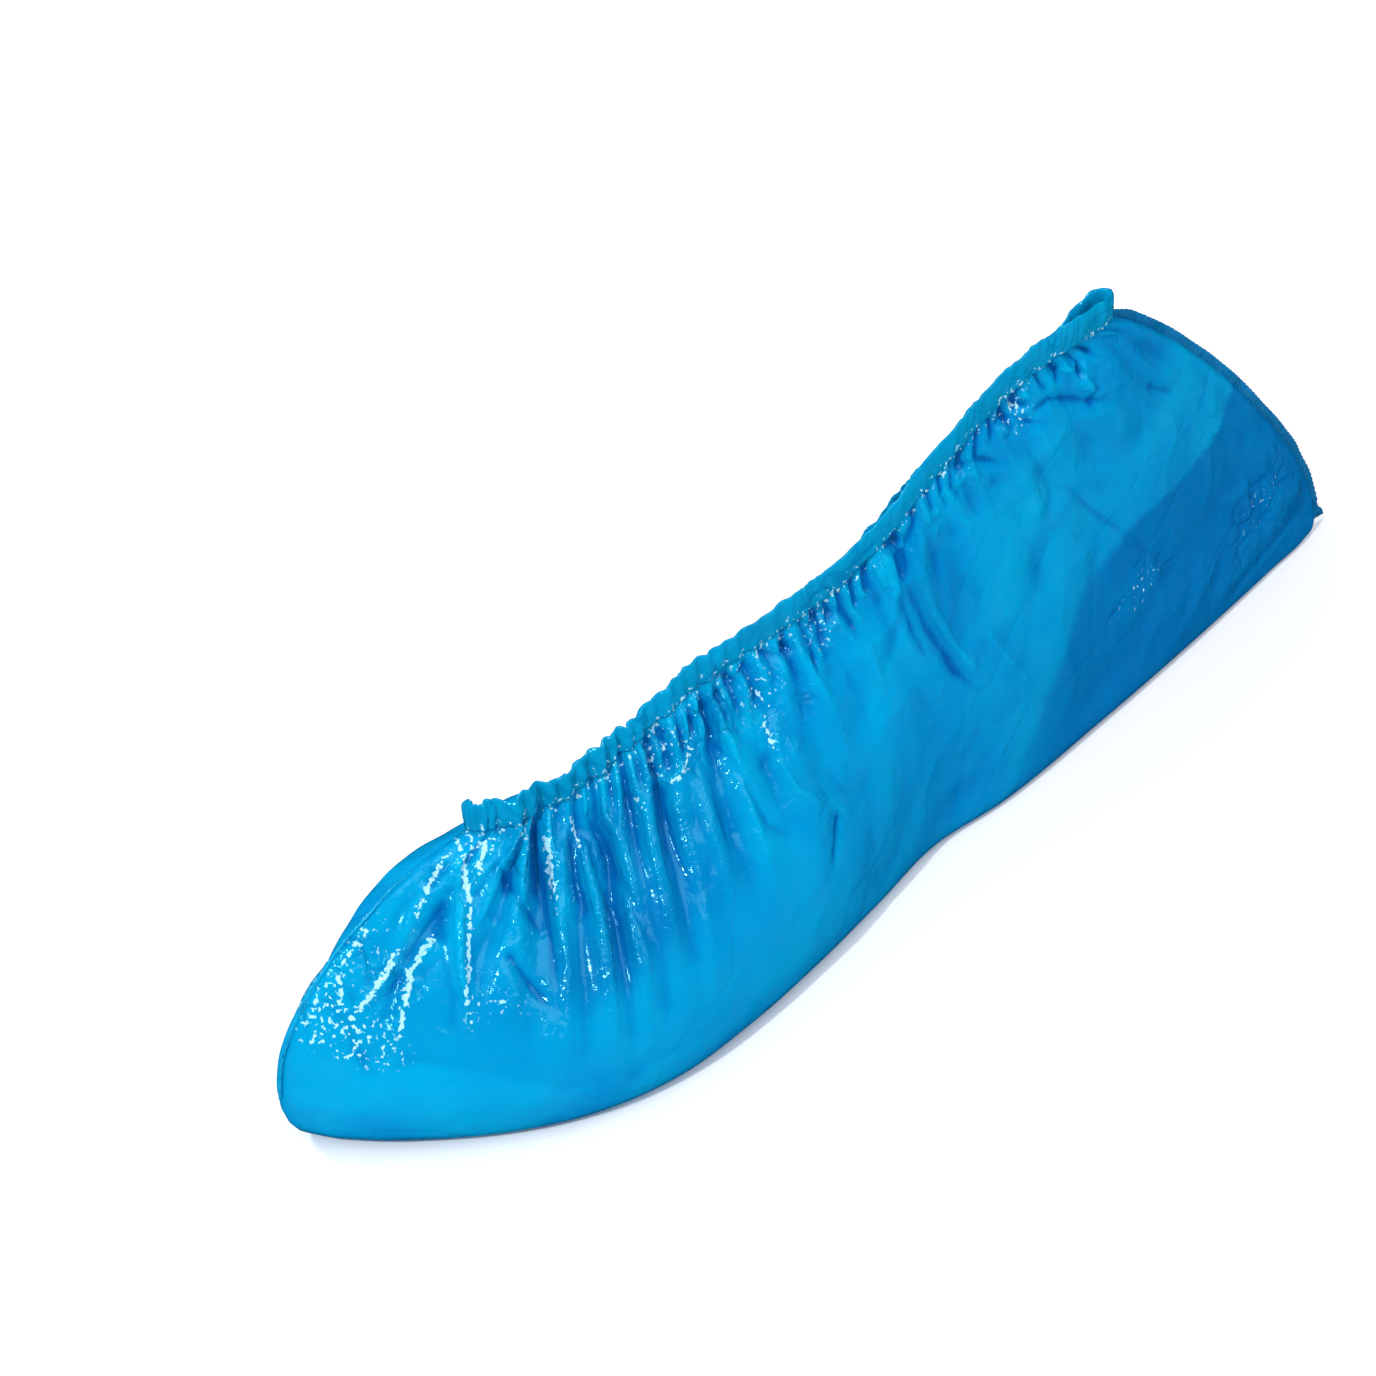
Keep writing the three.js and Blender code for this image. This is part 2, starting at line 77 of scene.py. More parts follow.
# How far the rim of the far half sinks below the solid model's: millimetres along the rim, sag
SAG_ALONG = (6, 20, 32, 62, 84, 120, 165, 200)
FAR_SAG = (0, 6.5, 8, 7.5, 5.5, 5, 3.5, 0)

# Outline of one half, from the toe seam round to the heel seam. The other half mirrors it.
OUTLINE_COLUMNS = ("ahead", "half", "tuck", "belly", "rim_ahead", "rim_half", "rim_top",
                   "lean", "rise", "reach", "drop")
OUTLINE = (
    # toe_tip, toe_nose, toe_corner, toe_side, toe_cheek
    (337.4, 0, 9, 15, 284, 0, 66.5, 0, 23, 28, 0),
    (334.4, 6.4, 9, 15, 283.0, 2.3, 66, 0.8, 21, 24, 4),
    (327, 14.2, 8, 14, 280.8, 3.8, 64.5, 2.4, 19, 19, 9),
    (316, 23.6, 8, 13, 276.5, 5.2, 62, 5, 18, 14, 13),
    (302, 32.8, 7, 13, 270, 6.6, 59, 8.6, 18, 12, 14),
    # ball_front, ball, instep, arch_front, arch
    (284, 41, 7, 12, 260, 7.8, 57.5, 10.6, 19, 13, 13),
    (262, 45, 7, 12, 246, 8.6, 62, 11.6, 22, 14, 13),
    (240, 43.6, 7, 12, 230, 8.9, 66.5, 12.2, 24, 13, 16),
    (215, 39, 6, 11, 212, 9.0, 69, 12.4, 26, 11, 19),
    (190, 33, 5, 10, 193, 9.0, 71, 12.4, 28, 9, 22),
    # waist, heel_front, heel_side, heel_taper
    (166, 26.8, 4, 8, 174, 8.9, 77, 12.2, 29, 8, 25),
    (145, 26, 3, 6, 158, 8.6, 87.5, 11.6, 31, 6, 30),
    (105, 21, 3, 5, 134, 8.0, 100.5, 10.4, 32, 8, 30),
    (60, 13.8, 2.5, 4, 115, 7.0, 105.5, 8.2, 31, 14, 18),
    # heel_quarter, heel_turn, heel_back, heel_nub
    (28, 7.8, 2, 3, 103, 5.8, 108, 5.0, 27, 18, 9),
    (12.5, 4.8, 1.6, 3, 96.8, 4.4, 110, 2.4, 25, 20, 7),
    (7.2, 2.7, 1.3, 3, 94.0, 2.7, 111, 1.0, 24, 20, 6),
    (5.9, 0, 1.2, 3, 92.8, 0, 111, 0, 24, 20, 6),
)

# Broad gathers, as valleys that run down from the rim: along, half width, depth, peak, run
GATHERS = (
    (2.4, 1.6, 1.0, 23, 62), (5.6, 1.9, 1.2, 19, 58), (11.5, 2.7, 1.6, 15, 60),
    (18.5, 3.2, 2.4, 16, 72), (25.5, 3.2, 2.2, 17, 74), (32, 3.0, 2.4, 17, 78),
    (38.5, 3.2, 2.0, 18, 70), (45.5, 3.4, 2.0, 19, 72), (53, 3.8, 1.6, 17, 56),
    (62, 4.4, 1.7, 19, 60), (72, 4.8, 1.3, 19, 50),
    (-3.4, 1.6, 1.2, 21, 60), (-8.4, 2.3, 1.8, 17, 58), (-15, 3.0, 2.4, 15, 66),
    (-22, 3.2, 2.6, 17, 74), (-29, 3.2, 2.4, 17, 72), (-36, 3.3, 2.4, 18, 74),
    (-43.5, 3.5, 2.0, 19, 66), (-52, 4.0, 1.8, 18, 62), (-62, 4.4, 1.7, 19, 56),
    (-73, 4.8, 1.4, 19, 48),
)

# Ruffles that the elastic makes, finer at the rim and wider below it:
# pitch along the rim, half amplitude, place below where they are strongest, run
RUFFLES = ((4.6, 0.95, 5, 14), (8.3, 1.15, 9, 26), (15.5, 1.15, 20, 56))

# Crumpling from coarse to fine: cell, seed, stretch down the wall, height
CRUMPLE_SIZES = (
    (46, 11, 1.3, 1.5), (21, 12, 1.3, 0.9), (9.5, 13, 1.0, 0.36), (4.6, 14, 1.0, 0.16),
)

# Single creases: height (minus is a valley), width, points (along, below). The first ones, over
# the toe, are on the near side only.
TOE_CREASES = 10
CREASES = (
    # over the toe
    (1.2, 1.5, ((0.8, 34), (1.2, 42), (2, 46), (3, 48))),
    (1.5, 1.7, ((4.2, 31), (4.2, 39), (3, 48))),
    (1.5, 1.7, ((2.2, 15), (3, 24), (4, 29))),
    (1.8, 2.0, ((6.2, 25), (5.4, 33), (6, 41), (6, 49))),
    (2.1, 2.0, ((1.5, 3), (4, 9), (6, 16), (9, 30), (11, 38), (12, 48))),
    (1.8, 1.9, ((7.4, 0), (6.6, 7), (6.4, 16))),
    (1.5, 1.5, ((12, 0), (11, 3), (9.6, 9))),
    (1.5, 1.5, ((12, 0), (13, 3), (15, 8))),
    (-1.5, 2.0, ((9, 8), (15, 18), (20, 27))),
    (-1.4, 2.0, ((14, 28), (18, 37), (22, 45))),
    # long gathers over the ball
    (-2.8, 3.2, ((17, -3), (17, 6), (19.6, 18), (21, 29), (22, 50))),
    (1.3, 1.8, ((18.8, -2), (19.8, 10), (21.8, 25), (23.5, 39))),
    (-2.4, 2.6, ((22.4, -2), (24.4, 11), (25.8, 19), (28, 31))),
    (1.1, 2.0, ((24, -2), (25.4, 8), (27.4, 18), (29.4, 31), (30, 50))),
    (-2.4, 3.0, ((26, -2), (28, 10), (30, 22), (32, 31), (33, 48))),
    (-1.8, 2.4, ((28.4, 4), (29.6, 9), (32, 17), (35.4, 29), (38, 43))),
    (-1.4, 1.6, ((33, -3), (33, 5), (35, 14))),
    (0.8, 1.2, ((37, -1), (39, 7), (35.6, 6))),
    (-1.4, 1.6, ((40, -3), (40, 11))),
    (-1.8, 3.4, ((43.6, 2), (46, 9), (47, 15), (47.4, 26), (49, 43))),
    (-1.6, 3.4, ((57.6, 8), (59, 19), (59, 30), (58, 40))),
    (-1.2, 2.8, ((62, 9), (64, 16), (66, 24), (68, 35), (73, 42))),
    # pocket below the hem and what leads away from it
    (-1.6, 2.2, ((44, 2), (49, 1.5), (53.6, 4))),
    (1.3, 1.6, ((43.6, 8), (49, 12), (54, 11), (56.4, 7))),
    (-1.8, 2.2, ((55.6, 11), (58, 5), (67, 3.4), (73, 2.4))),
    (-1.4, 1.6, ((67, -2), (71.6, 3), (76, 1))),
    (-1.3, 2.0, ((78, 0), (84, 4), (91, 3))),
    (-1.4, 1.8, ((92, 4), (98, 2), (102.6, 5), (104, 0))),
    (0.7, 1.6, ((78, 14), (75, 25), (76, 32), (83, 42))),
    (-1.0, 1.8, ((84.4, 42), (82, 48), (79, 54))),
    # ankle
    (-2.6, 2.6, ((118.4, -2), (122, 1.6), (125.4, 5), (121, 12))),
    (1.0, 2.0, ((115.6, 2), (118, 8), (117.4, 16))),
    (-1.2, 2.0, ((121, 12), (123, 27), (127, 43), (133, 59))),
    (-1.0, 1.8, ((118, 12), (118.4, 23), (120, 35))),
    (0.8, 1.6, ((125, 24), (129, 40), (133, 50))),
    # under the rear rim
    (-1.6, 2.0, ((161, -2), (164, 3), (164.4, 7))),
    (-1.5, 2.0, ((155.6, 4), (160, 2.6), (164.4, 8), (169, 14.6))),
    (-1.4, 2.2, ((164.4, 7), (172, 9), (179, 18), (184.6, 27))),
    (-0.9, 1.6, ((182.6, 15), (179, 18.6), (178, 22))),
    (-0.8, 1.6, ((189, 32), (192, 43))),
    (-0.9, 6.0, ((186, 3), (194, 10), (198, 22), (199, 34))),
    # pressed lines of the folded bag
    (-0.55, 1.5, ((166, 32), (169, 48), (174, 75), (181, 110))),
    (0.5, 1.5, ((138, 43), (141, 54), (146, 72))),
    (0.5, 1.6, ((192, 92), (190, 105), (193, 120))),
    (-0.5, 1.6, ((197, 92), (196, 104), (198, 116))),
    (-0.7, 1.8, ((184, 118), (195, 122), (201, 124))),
)

# Upper edge of the gusset folded in behind the film: along, below
GUSSET_ALONG = (118, 148, 160, 166, 175, 182, 192, 201, 208)
GUSSET_BELOW = (92, 72, 61, 60, 61, 67, 68, 62, 58)

# Lower edge of the painted shade on the toe's side, above the brighter band along the ground
TOE_BAND_ALONG = (0, 7, 14, 22, 33, 44, 60)
TOE_BAND_BELOW = (64, 52.5, 55, 61.5, 65.5, 67.5, 70)

# Broad patches of painted shade, partly standing for film that lies double: along, below, radius
# along, radius below, share
SHADED = (
    (128, 20, 13, 26, 0.42), (150, 8, 14, 14, 0.3), (186, 28, 18, 20, 0.26),
    (201, 15, 12, 20, 0.36), (116, 48, 16, 22, 0.14), (94, 52, 15, 24, 0.24),
    (47, 7, 8, 9, 0.3), (78, 30, 9, 20, 0.16), (68, 6, 14, 7, 0.22), (100, 6, 16, 9, 0.2),
)

# Painted glints as pale lines along the sharpest folds of the near half: strength, width, (along,
# below)
PAINTED_GLINT_LINES = (
    (1.3, 0.8, ((0.5, -2), (2.1, 4.6), (4.3, 9), (7.1, 16), (8.4, 21), (9.8, 30), (10.9, 38),
                (12.1, 46), (12.6, 50))),
    (1.3, 0.8, ((5.8, -3), (5.5, 3), (6.5, 8), (7.3, 13.3))),
    (1.2, 0.8, ((0.5, 4.2), (1.7, 9.8), (2.7, 16.3), (3.6, 22.3), (4.2, 28))),
    (1.6, 0.8, ((3.8, 30), (4, 35.5), (3.9, 40.5), (3.6, 47.6), (3.4, 51))),
    (1.5, 0.8, ((5.9, 24), (5.5, 31), (5.5, 35.4), (5.9, 41), (6.5, 48.2), (6.8, 52))),
    (1.4, 0.6, ((19.8, -4), (19.3, 6.8), (20.6, 14.4), (21.6, 24))),
    (1.2, 0.6, ((24.8, -1), (25.1, 5.6), (27.4, 14.5))),
    (1.0, 0.6, ((14.7, -2), (12.1, -1.5), (13.2, 2.3), (15.6, 8))),
    (1.3, 0.8, ((0.8, 30), (0.9, 37.3), (1.3, 42.6), (2.6, 47.2), (3.8, 49.5))),
    (1.1, 0.6, ((48, 13), (51, 13), (54, 11.6), (57, 7))),
    (0.9, 0.6, ((74, 13), (75.6, 17), (75, 24))),
    (0.9, 0.6, ((161, 2), (164.4, 4), (166, 8))),
)

# Patches sprinkled with painted glints as pale spots: along, below, radius, strength
PAINTED_GLINT_SPOTS = (
    (0.5, 52, 8, 0.36), (0, 44, 5, 0.28), (-3, 34, 9, 0.26), (3, 2, 6, 0.32), (12, 0, 5, 0.3),
    (50, 6, 6, 0.26), (55, 10, 4, 0.3), (76, 10, 7, 0.26), (14, 40, 5, 0.2), (40, 12, 5, 0.2),
    (97, 5, 6, 0.22), (163, 6, 6, 0.24), (171, 82, 5, 0.2), (193, 105, 6, 0.17),
)

# Patches of fine crumpling: along, below, radius, strength
CRUMPLED = (
    (76, 11, 15, 1.6), (171, 82, 9, 1.6), (193, 105, 16, 1.2), (-2, 46, 14, 1.8),
    (8, 10, 12, 0.8), (-8, 40, 16, 1.0), (50, 6, 9, 1.2), (-70, 14, 16, 1.2),
    (-150, 60, 16, 1.2), (-190, 95, 18, 1.2), (84, 40, 10, 1.0),
)


def hump(offset, half_width):
    """A smooth hump: 1 at the middle and 0 from one half width on."""
    share = np.clip(np.abs(offset) / half_width, 0, 1)
    return np.cos(share * math.pi / 2) ** 2


def run_off(below, peak, run):
    """Rises to 1 at the peak and dies away over the run."""
    rising = np.sin(np.clip(below / max(peak, 1e-6), 0, 1) * math.pi / 2) ** 2
    falling = np.cos(np.clip((below - peak) / (run - peak), 0, 1) * math.pi / 2) ** 2
    return np.where(below < peak, rising, falling)


def smooth_step(value, low, high):
    share = np.clip((value - low) / (high - low), 0, 1)
    return share * share * (3 - 2 * share)


def span_share(at, span):
    """0 before the span, 1 inside it and 0 after it, with smooth ends."""
    begin, full, fade, end = span
    return smooth_step(at, begin, full) * (1 - smooth_step(at, fade, end))


class Outline:
    """The closed spline through the rows of both halves, by distance along the widest line."""

    def __init__(self):
        near = np.array(OUTLINE, float)
        far = near[1:-1][::-1].copy()
        mirrored = [OUTLINE_COLUMNS.index(name) for name in ("half", "rim_half", "lean")]
        far[:, mirrored] *= -1
        self.rows = np.concatenate([near, far])
        after = np.roll(self.rows, -1, axis=0)
        self.spans = np.hypot(*(after[:, :2] - self.rows[:, :2]).T)
        self.knots = np.concatenate([[0], np.cumsum(self.spans)])
        self.total = self.knots[-1]
        after_rate = (after - self.rows) / self.spans[:, None]
        before_rate = np.roll(after_rate, 1, axis=0)
        before = np.roll(self.spans, 1)[:, None]
        ahead = self.spans[:, None]
        self.slopes = (before_rate * ahead + after_rate * before) / (before + ahead)

    def value(self, place, name):
        column = OUTLINE_COLUMNS.index(name)
        at = np.mod(place, self.total)
        i = np.clip(np.searchsorted(self.knots, at, side="right") - 1, 0, len(self.rows) - 1)
        j = (i + 1) % len(self.rows)
        width = self.spans[i]
        s = (at - self.knots[i]) / width
        s2, s3 = s * s, s * s * s
        return ((2 * s3 - 3 * s2 + 1) * self.rows[i, column]
                + (s3 - 2 * s2 + s) * width * self.slopes[i, column]
                + (3 * s2 - 2 * s3) * self.rows[j, column]
                + (s3 - s2) * width * self.slopes[j, column])

    def plan(self, place, ahead_name, half_name):
        """Plan points and their outward directions."""
        def point(at):
            return np.stack([self.value(at, half_name),
                             LENGTH / 2 - self.value(at, ahead_name),
                             np.zeros_like(at)], -1)
        step = 1e-3 * self.total
        tangent = point(place + step) - point(place - step)
        outward = np.stack([tangent[:, 1], -tangent[:, 0], np.zeros(len(place))], -1)
        return point(place), outward / np.linalg.norm(outward, axis=1)[:, None]

    def rim(self, place):
        """The film's upper edge below the hem's top, and its outward direction."""
        point, outward = self.plan(place, "rim_ahead", "rim_half")
        point[:, 2] = self.value(place, "rim_top") + self.value(place, "lean") - HEM_CAP
        return point, outward

    def slack(self, place):
        """How far the far half has slumped in beside the mouth's front, from 0 to 1."""
        return span_share(self.total - np.mod(place, self.total), SLACK_SPAN)

    def face(self, place, levels):
        """Smooth outer face: 0 to 1 over the lower edge, 1 to 2 up the wall to the collar."""
        widest, outward = self.plan(place, "ahead", "half")
        pull = span_share(self.total - np.mod(place, self.total), PULL_SPAN)
        widest[:, 0] += FAR_PULL * pull
        tuck, belly = self.value(place, "tuck"), self.value(place, "belly")
        top = self.rim(place)[0] - np.array([0, 0, COLLAR_HEIGHT])
        start = widest.copy()
        start[:, 2] = belly
        aside = start - top
        aside[:, 2] = 0
        aside /= np.linalg.norm(aside, axis=1)[:, None]
        up = np.array([0, 0, 1.0])
        slack = self.slack(place)
        lower = start + up * (self.value(place, "rise") * (1 - 0.8 * slack))[:, None]
        upper = top + aside * (self.value(place, "reach") * (1 - 0.75 * slack))[:, None]
        upper = upper - up * self.value(place, "drop")[:, None]
        rings = []
        for level in levels:
            if level <= 1:
                angle = level * math.pi / 2
                ring = widest - outward * (tuck * (1 - math.sin(angle)))[:, None]
                ring[:, 2] = belly * (1 - math.cos(angle))
            else:
                # A cubic curve from the widest line to the collar's foot
                t = level - 1
                ring = ((1 - t) ** 3 * start + 3 * (1 - t) ** 2 * t * lower
                        + 3 * (1 - t) * t * t * upper + t ** 3 * top)
            rings.append(ring)
        return np.stack(rings, 1)

    def rim_distances(self, place):
        """Distance along the rim from the mouth's front end, minus on the -X half."""
        fine = np.linspace(0, self.total / 2, 1601)
        rim = self.rim(fine)[0]
        run = np.concatenate([[0], np.cumsum(np.linalg.norm(np.diff(rim, axis=0), axis=1))])
        at = np.mod(place, self.total)
        near = np.interp(np.minimum(at, self.total - at), fine, run)
        return np.where(at <= self.total / 2, near, -near)


OUT = Outline()


def lattice(u_cells, v_cells, seed):
    """Random values from -1 to 1, the same for the same seed."""
    return np.random.RandomState(seed).uniform(-1, 1, (u_cells, v_cells))


def around(values, x, y):
    """The cell of each place, where it lies in it, and the lattice's values at its corners."""
    i, j = np.floor(x).astype(int), np.floor(y).astype(int)
    wide, tall = values.shape
    corners = [values[(i + a) % wide, (j + b) % tall] for a, b in ((0, 0), (1, 0), (0, 1), (1, 1))]
    return i, j, x - i, y - j, corners


def soft_noise(u, v, cell, seed):
    """Smooth noise on the wall, closed round the loop. u and v are in millimetres."""
    cells = max(2, round(OUT.total / cell))
    values = lattice(cells, 64, seed)
    x, y = u / OUT.total * cells, v / cell + 8
    _, _, fx, fy, (h00, h10, h01, h11) = around(values, x, y)
    fx, fy = fx * fx * (3 - 2 * fx), fy * fy * (3 - 2 * fy)
    return (h00 * (1 - fx) + h10 * fx) * (1 - fy) + (h01 * (1 - fx) + h11 * fx) * fy


def facets(u, v, cell, seed, stretch=1.0):
    """Crumpled film: flat facets between random heights, cut apart by sharp creases."""
    warp = 0.55 * cell
    v = v / stretch
    x0 = u + warp * soft_noise(u, v, cell * 1.3, seed + 1)
    y0 = v + warp * soft_noise(u, v, cell * 1.3, seed + 2)
    cells = max(3, round(OUT.total / cell))
    values = lattice(cells, 128, seed)
    turned = lattice(cells, 128, seed + 3) > 0
    x, y = x0 / OUT.total * cells, y0 / cell + 16
    i, j, fx, fy, (h00, h10, h01, h11) = around(values, x, y)
    flip = turned[i % cells, j % 128]
    straight = np.where(fx + fy < 1, h00 + (h10 - h00) * fx + (h01 - h00) * fy,
                        h11 + (h01 - h11) * (1 - fx) + (h10 - h11) * (1 - fy))
    other = np.where(fx > fy, h00 + (h10 - h00) * fx + (h11 - h10) * fy,
                     h00 + (h11 - h01) * fx + (h01 - h00) * fy)
    return np.where(flip, straight, other)


def folded_wave(phase):
    """A wave of straight flanks with slightly rounded tops, from -1 to 1."""
    saw = 2 * np.abs(2 * (phase - np.floor(phase + 0.5))) - 1
    return np.sin(saw * math.pi / 2) * 0.45 + saw * 0.55


def segment_distance(points, a, b):
    """Distance of points from a segment, and the share along it."""
    run = b - a
    t = np.clip(((points - a) @ run) / max(float(run @ run), 1e-9), 0, 1)
    return np.linalg.norm(points - (a + t[:, None] * run), axis=1), t


class Wall:
    """The smooth film and the relief on it, at any places and levels."""

    def __init__(self, place, levels, collar_rings):
        self.levels = levels
        smooth = OUT.face(place, levels)
        step = 1e-3 * OUT.total
        across = OUT.face(place + step, levels) - OUT.face(place - step, levels)
        low = [max(level - 2e-3, 0 if level <= 1 else 1) for level in levels]
        high = [min(level + 2e-3, 1 if level < 1 else 2) for level in levels]
        upward = OUT.face(place, high) - OUT.face(place, low)
        normal = np.cross(across, upward)
        normal /= np.linalg.norm(normal, axis=2)[:, :, None]
        rim, outward = OUT.rim(place)
        below = np.zeros(smooth.shape[:2])
        steps = np.linalg.norm(np.diff(smooth, axis=1), axis=2)
        below[:, :-1] = np.cumsum(steps[:, ::-1], axis=1)[:, ::-1]
        for up in collar_rings:
            ring = rim + np.array([0, 0, up - COLLAR_HEIGHT])
            smooth = np.concatenate([smooth, ring[:, None]], 1)
            normal = np.concatenate([normal, outward[:, None]], 1)
            below = np.concatenate([below, np.full((len(place), 1), -up)], 1)
        # The far half sags, most at its rim
        along = OUT.rim_distances(place)
        sag = np.interp(-along, SAG_ALONG, FAR_SAG)[:, None] * (1 - smooth_step(below, 0, 42))
        smooth[:, :, 2] -= sag
        smooth[:, :, 0] += 0.35 * sag * smooth_step(below, 0, 12)
        self.smooth, self.normal, self.below = smooth, normal, below
        self.along = np.repeat(along[:, None], smooth.shape[1], 1)
        self.round = np.repeat(np.mod(place, OUT.total)[:, None], smooth.shape[1], 1)


@functools.lru_cache(maxsize=1)
def near_grid():
    """A coarse wall of the near half, to look up places in."""
    place = np.linspace(0, OUT.total / 2, 401)
    levels = np.concatenate([np.linspace(0, 0.9, 4), np.linspace(1, 2, 81)])
    return Wall(place, levels, COLLAR_RINGS)


def on_wall(along, below):
    """The smooth point of the near half at a place given as (along, below)."""
    grid = near_grid()
    i = int(np.argmin(np.abs(grid.along[:, 0] - along)))
    j = int(np.argmin(np.abs(grid.below[i] - below)))
    return grid.smooth[i, j]


def crease_relief(points, side, table, mirror=False):
    """Sum of single creases: straight flanks up to a sharp line that fades at its ends."""
    height = np.zeros(len(points))
    turn = np.array([-1.0 if mirror else 1.0, 1.0, 1.0])
    mask = side < 0 if mirror else side > 0
    chosen = points[mask]
    for tall, width, line in table:
        spots = [on_wall(along, below) * turn for along, below in line]
        lengths = [np.linalg.norm(b - a) for a, b in zip(spots, spots[1:])]
        whole, passed = sum(lengths), 0.0
        best = np.zeros(len(chosen))
        near = np.full(len(chosen), 1e9)
        for a, b, length in zip(spots, spots[1:], lengths):
            distance, t = segment_distance(chosen, a, b)
            share = (passed + t * length) / max(whole, 1e-6)
            fade = np.clip(np.minimum(share / 0.12, (1 - share) / 0.3), 0, 1)
            closer = distance < near
            near = np.where(closer, distance, near)
            best = np.where(closer, fade, best)
            passed += length
        flank = np.clip(1 - near / (1.5 * width), 0, 1)
        height[mask] += tall * best * (0.55 * flank + 0.45 * flank ** 3)
    return height * smooth_step(np.abs(points[:, 0]), 0.2, 3.0)


def rear_puckers(seed):
    """Short zigzag puckers under the rear rim, as rows of the crease table."""
    draw = np.random.RandomState(seed)
    rows = []
    at, end = PUCKER_SPAN
    while at < end:
        lean = draw.uniform(-3, 3)
        depth = draw.uniform(6, 15)
        bend = draw.uniform(-3, 3)
        rows.append((-draw.uniform(1.2, 2.4), draw.uniform(1.0, 1.7),
                     ((at, -2), (at + lean, 0.5 * depth), (at + bend, depth))))
        if draw.uniform() < 0.6:
            rows.append((draw.uniform(0.5, 1.0), draw.uniform(1.0, 1.5),
                         ((at + lean, 0.5 * depth), (at + lean + draw.uniform(2, 5),
                                                     0.5 * depth + draw.uniform(1, 5)))))
        at += draw.uniform(3.2, 6.0)
    return tuple(rows)


def crumpled_patches(wall):
    """Strength of the fine crumpling at each place."""
    patch = np.zeros(wall.below.shape)
    for place, deep, radius, strength in CRUMPLED:
        far = np.hypot(wall.along - place, (wall.below - deep) * 0.9)
        patch += strength * np.clip(1 - far / radius, 0, 1) ** 0.7
    return patch


def painted_glint(wall):
    """Strength of the painted glints, as pale lines and spots, at each place."""
    points, side = wall.smooth.reshape(-1, 3), wall.along.reshape(-1)
    glint_marks = crease_relief(points, side, PAINTED_GLINT_LINES).reshape(wall.below.shape)
    for place, deep, radius, strength in PAINTED_GLINT_SPOTS:
        away = np.hypot(wall.along - place, wall.below - deep)
        glint_marks = np.maximum(glint_marks, strength * np.clip(1 - away / radius, 0, 1) ** 0.5)
    # Painted glints also as sparse pale dots just below the rim of the near half
    near = smooth_step(wall.along, -2, 1) * (1 - smooth_step(wall.along, 150, 185))
    edge = hump(wall.below - 0.6, 3.2) * near
    return np.clip(np.maximum(glint_marks, 0.24 * edge), 0, 1)


def slumped_folds(wall, share):
    """Folds of the far half: its rim stands lower, so its film slumps along the wall."""
    along, below, u = wall.along, wall.below, wall.round
    slump = smooth_step(-along, *FAR_SIDE) * smooth_step(below, 2, 12)
    slump = slump * share * smooth_step(RIM_RUN - np.abs(along), 2, 14)
    drift = 0.55 * soft_noise(u, below, 38, 340)
    falling = folded_wave(below / 17 + along / 58 + drift)
    rising = folded_wave(below / 14 - along / 36 + drift)
    which = smooth_step(soft_noise(u, below, 52, 342), -0.22, 0.22)
    strength = 3.0 + 1.4 * soft_noise(u, below, 27, 341)
    folds = strength * (which * falling + (1 - which) * rising)
    return slump * (folds + 4.2 * facets(u, below, 18, 31, 0.6))


def gathers(wall):
    """Valleys of the broad gathers, shallower beside the far half's toe."""
    height = np.zeros(wall.below.shape)
    below_rim = np.maximum(wall.below, 0)
    for place, half, depth, peak, run in GATHERS:
        size = depth if place > 0 else depth * (0.2 + 0.9 * float(smooth_step(-place, 34, 60)))
        height -= size * hump(wall.along - place, half) * run_off(below_rim, peak, run)
    return height


def crumpling(wall):
    """Crumpled facets, finest below the rim and in the crumpled patches."""
    below, rear = wall.below, np.abs(wall.along)
    big, middle, small, tiny = [facets(wall.round, below, cell, seed, stretch) * size
                                for cell, seed, stretch, size in CRUMPLE_SIZES]
    patch = crumpled_patches(wall)
    # How far down the wall, 0 at the rim and 1 at the widest line
    down = below / np.maximum(below[:, [0]], 1)
    rim_zone = 1 - smooth_step(below, 10, 30)
    calm = 1 - 0.75 * smooth_step(down, 0.62, 0.8) * (1 - smooth_step(rear, 60, 100))
    return (calm * (big + middle) + calm * small * (1 + 0.8 * rim_zone + 1.2 * patch)
            + tiny * (0.6 + 0.8 * rim_zone + 2.0 * patch))


def single_creases(wall):
    """The single creases and puckers of the near half, and what of them the far half mirrors."""
    points, side = wall.smooth.reshape(-1, 3), wall.along.reshape(-1)
    height = crease_relief(points, side, CREASES + rear_puckers(41))
    mirrored = CREASES[TOE_CREASES:] + rear_puckers(57)
    height += 0.9 * crease_relief(points, side, mirrored, True)
    return height.reshape(wall.below.shape)


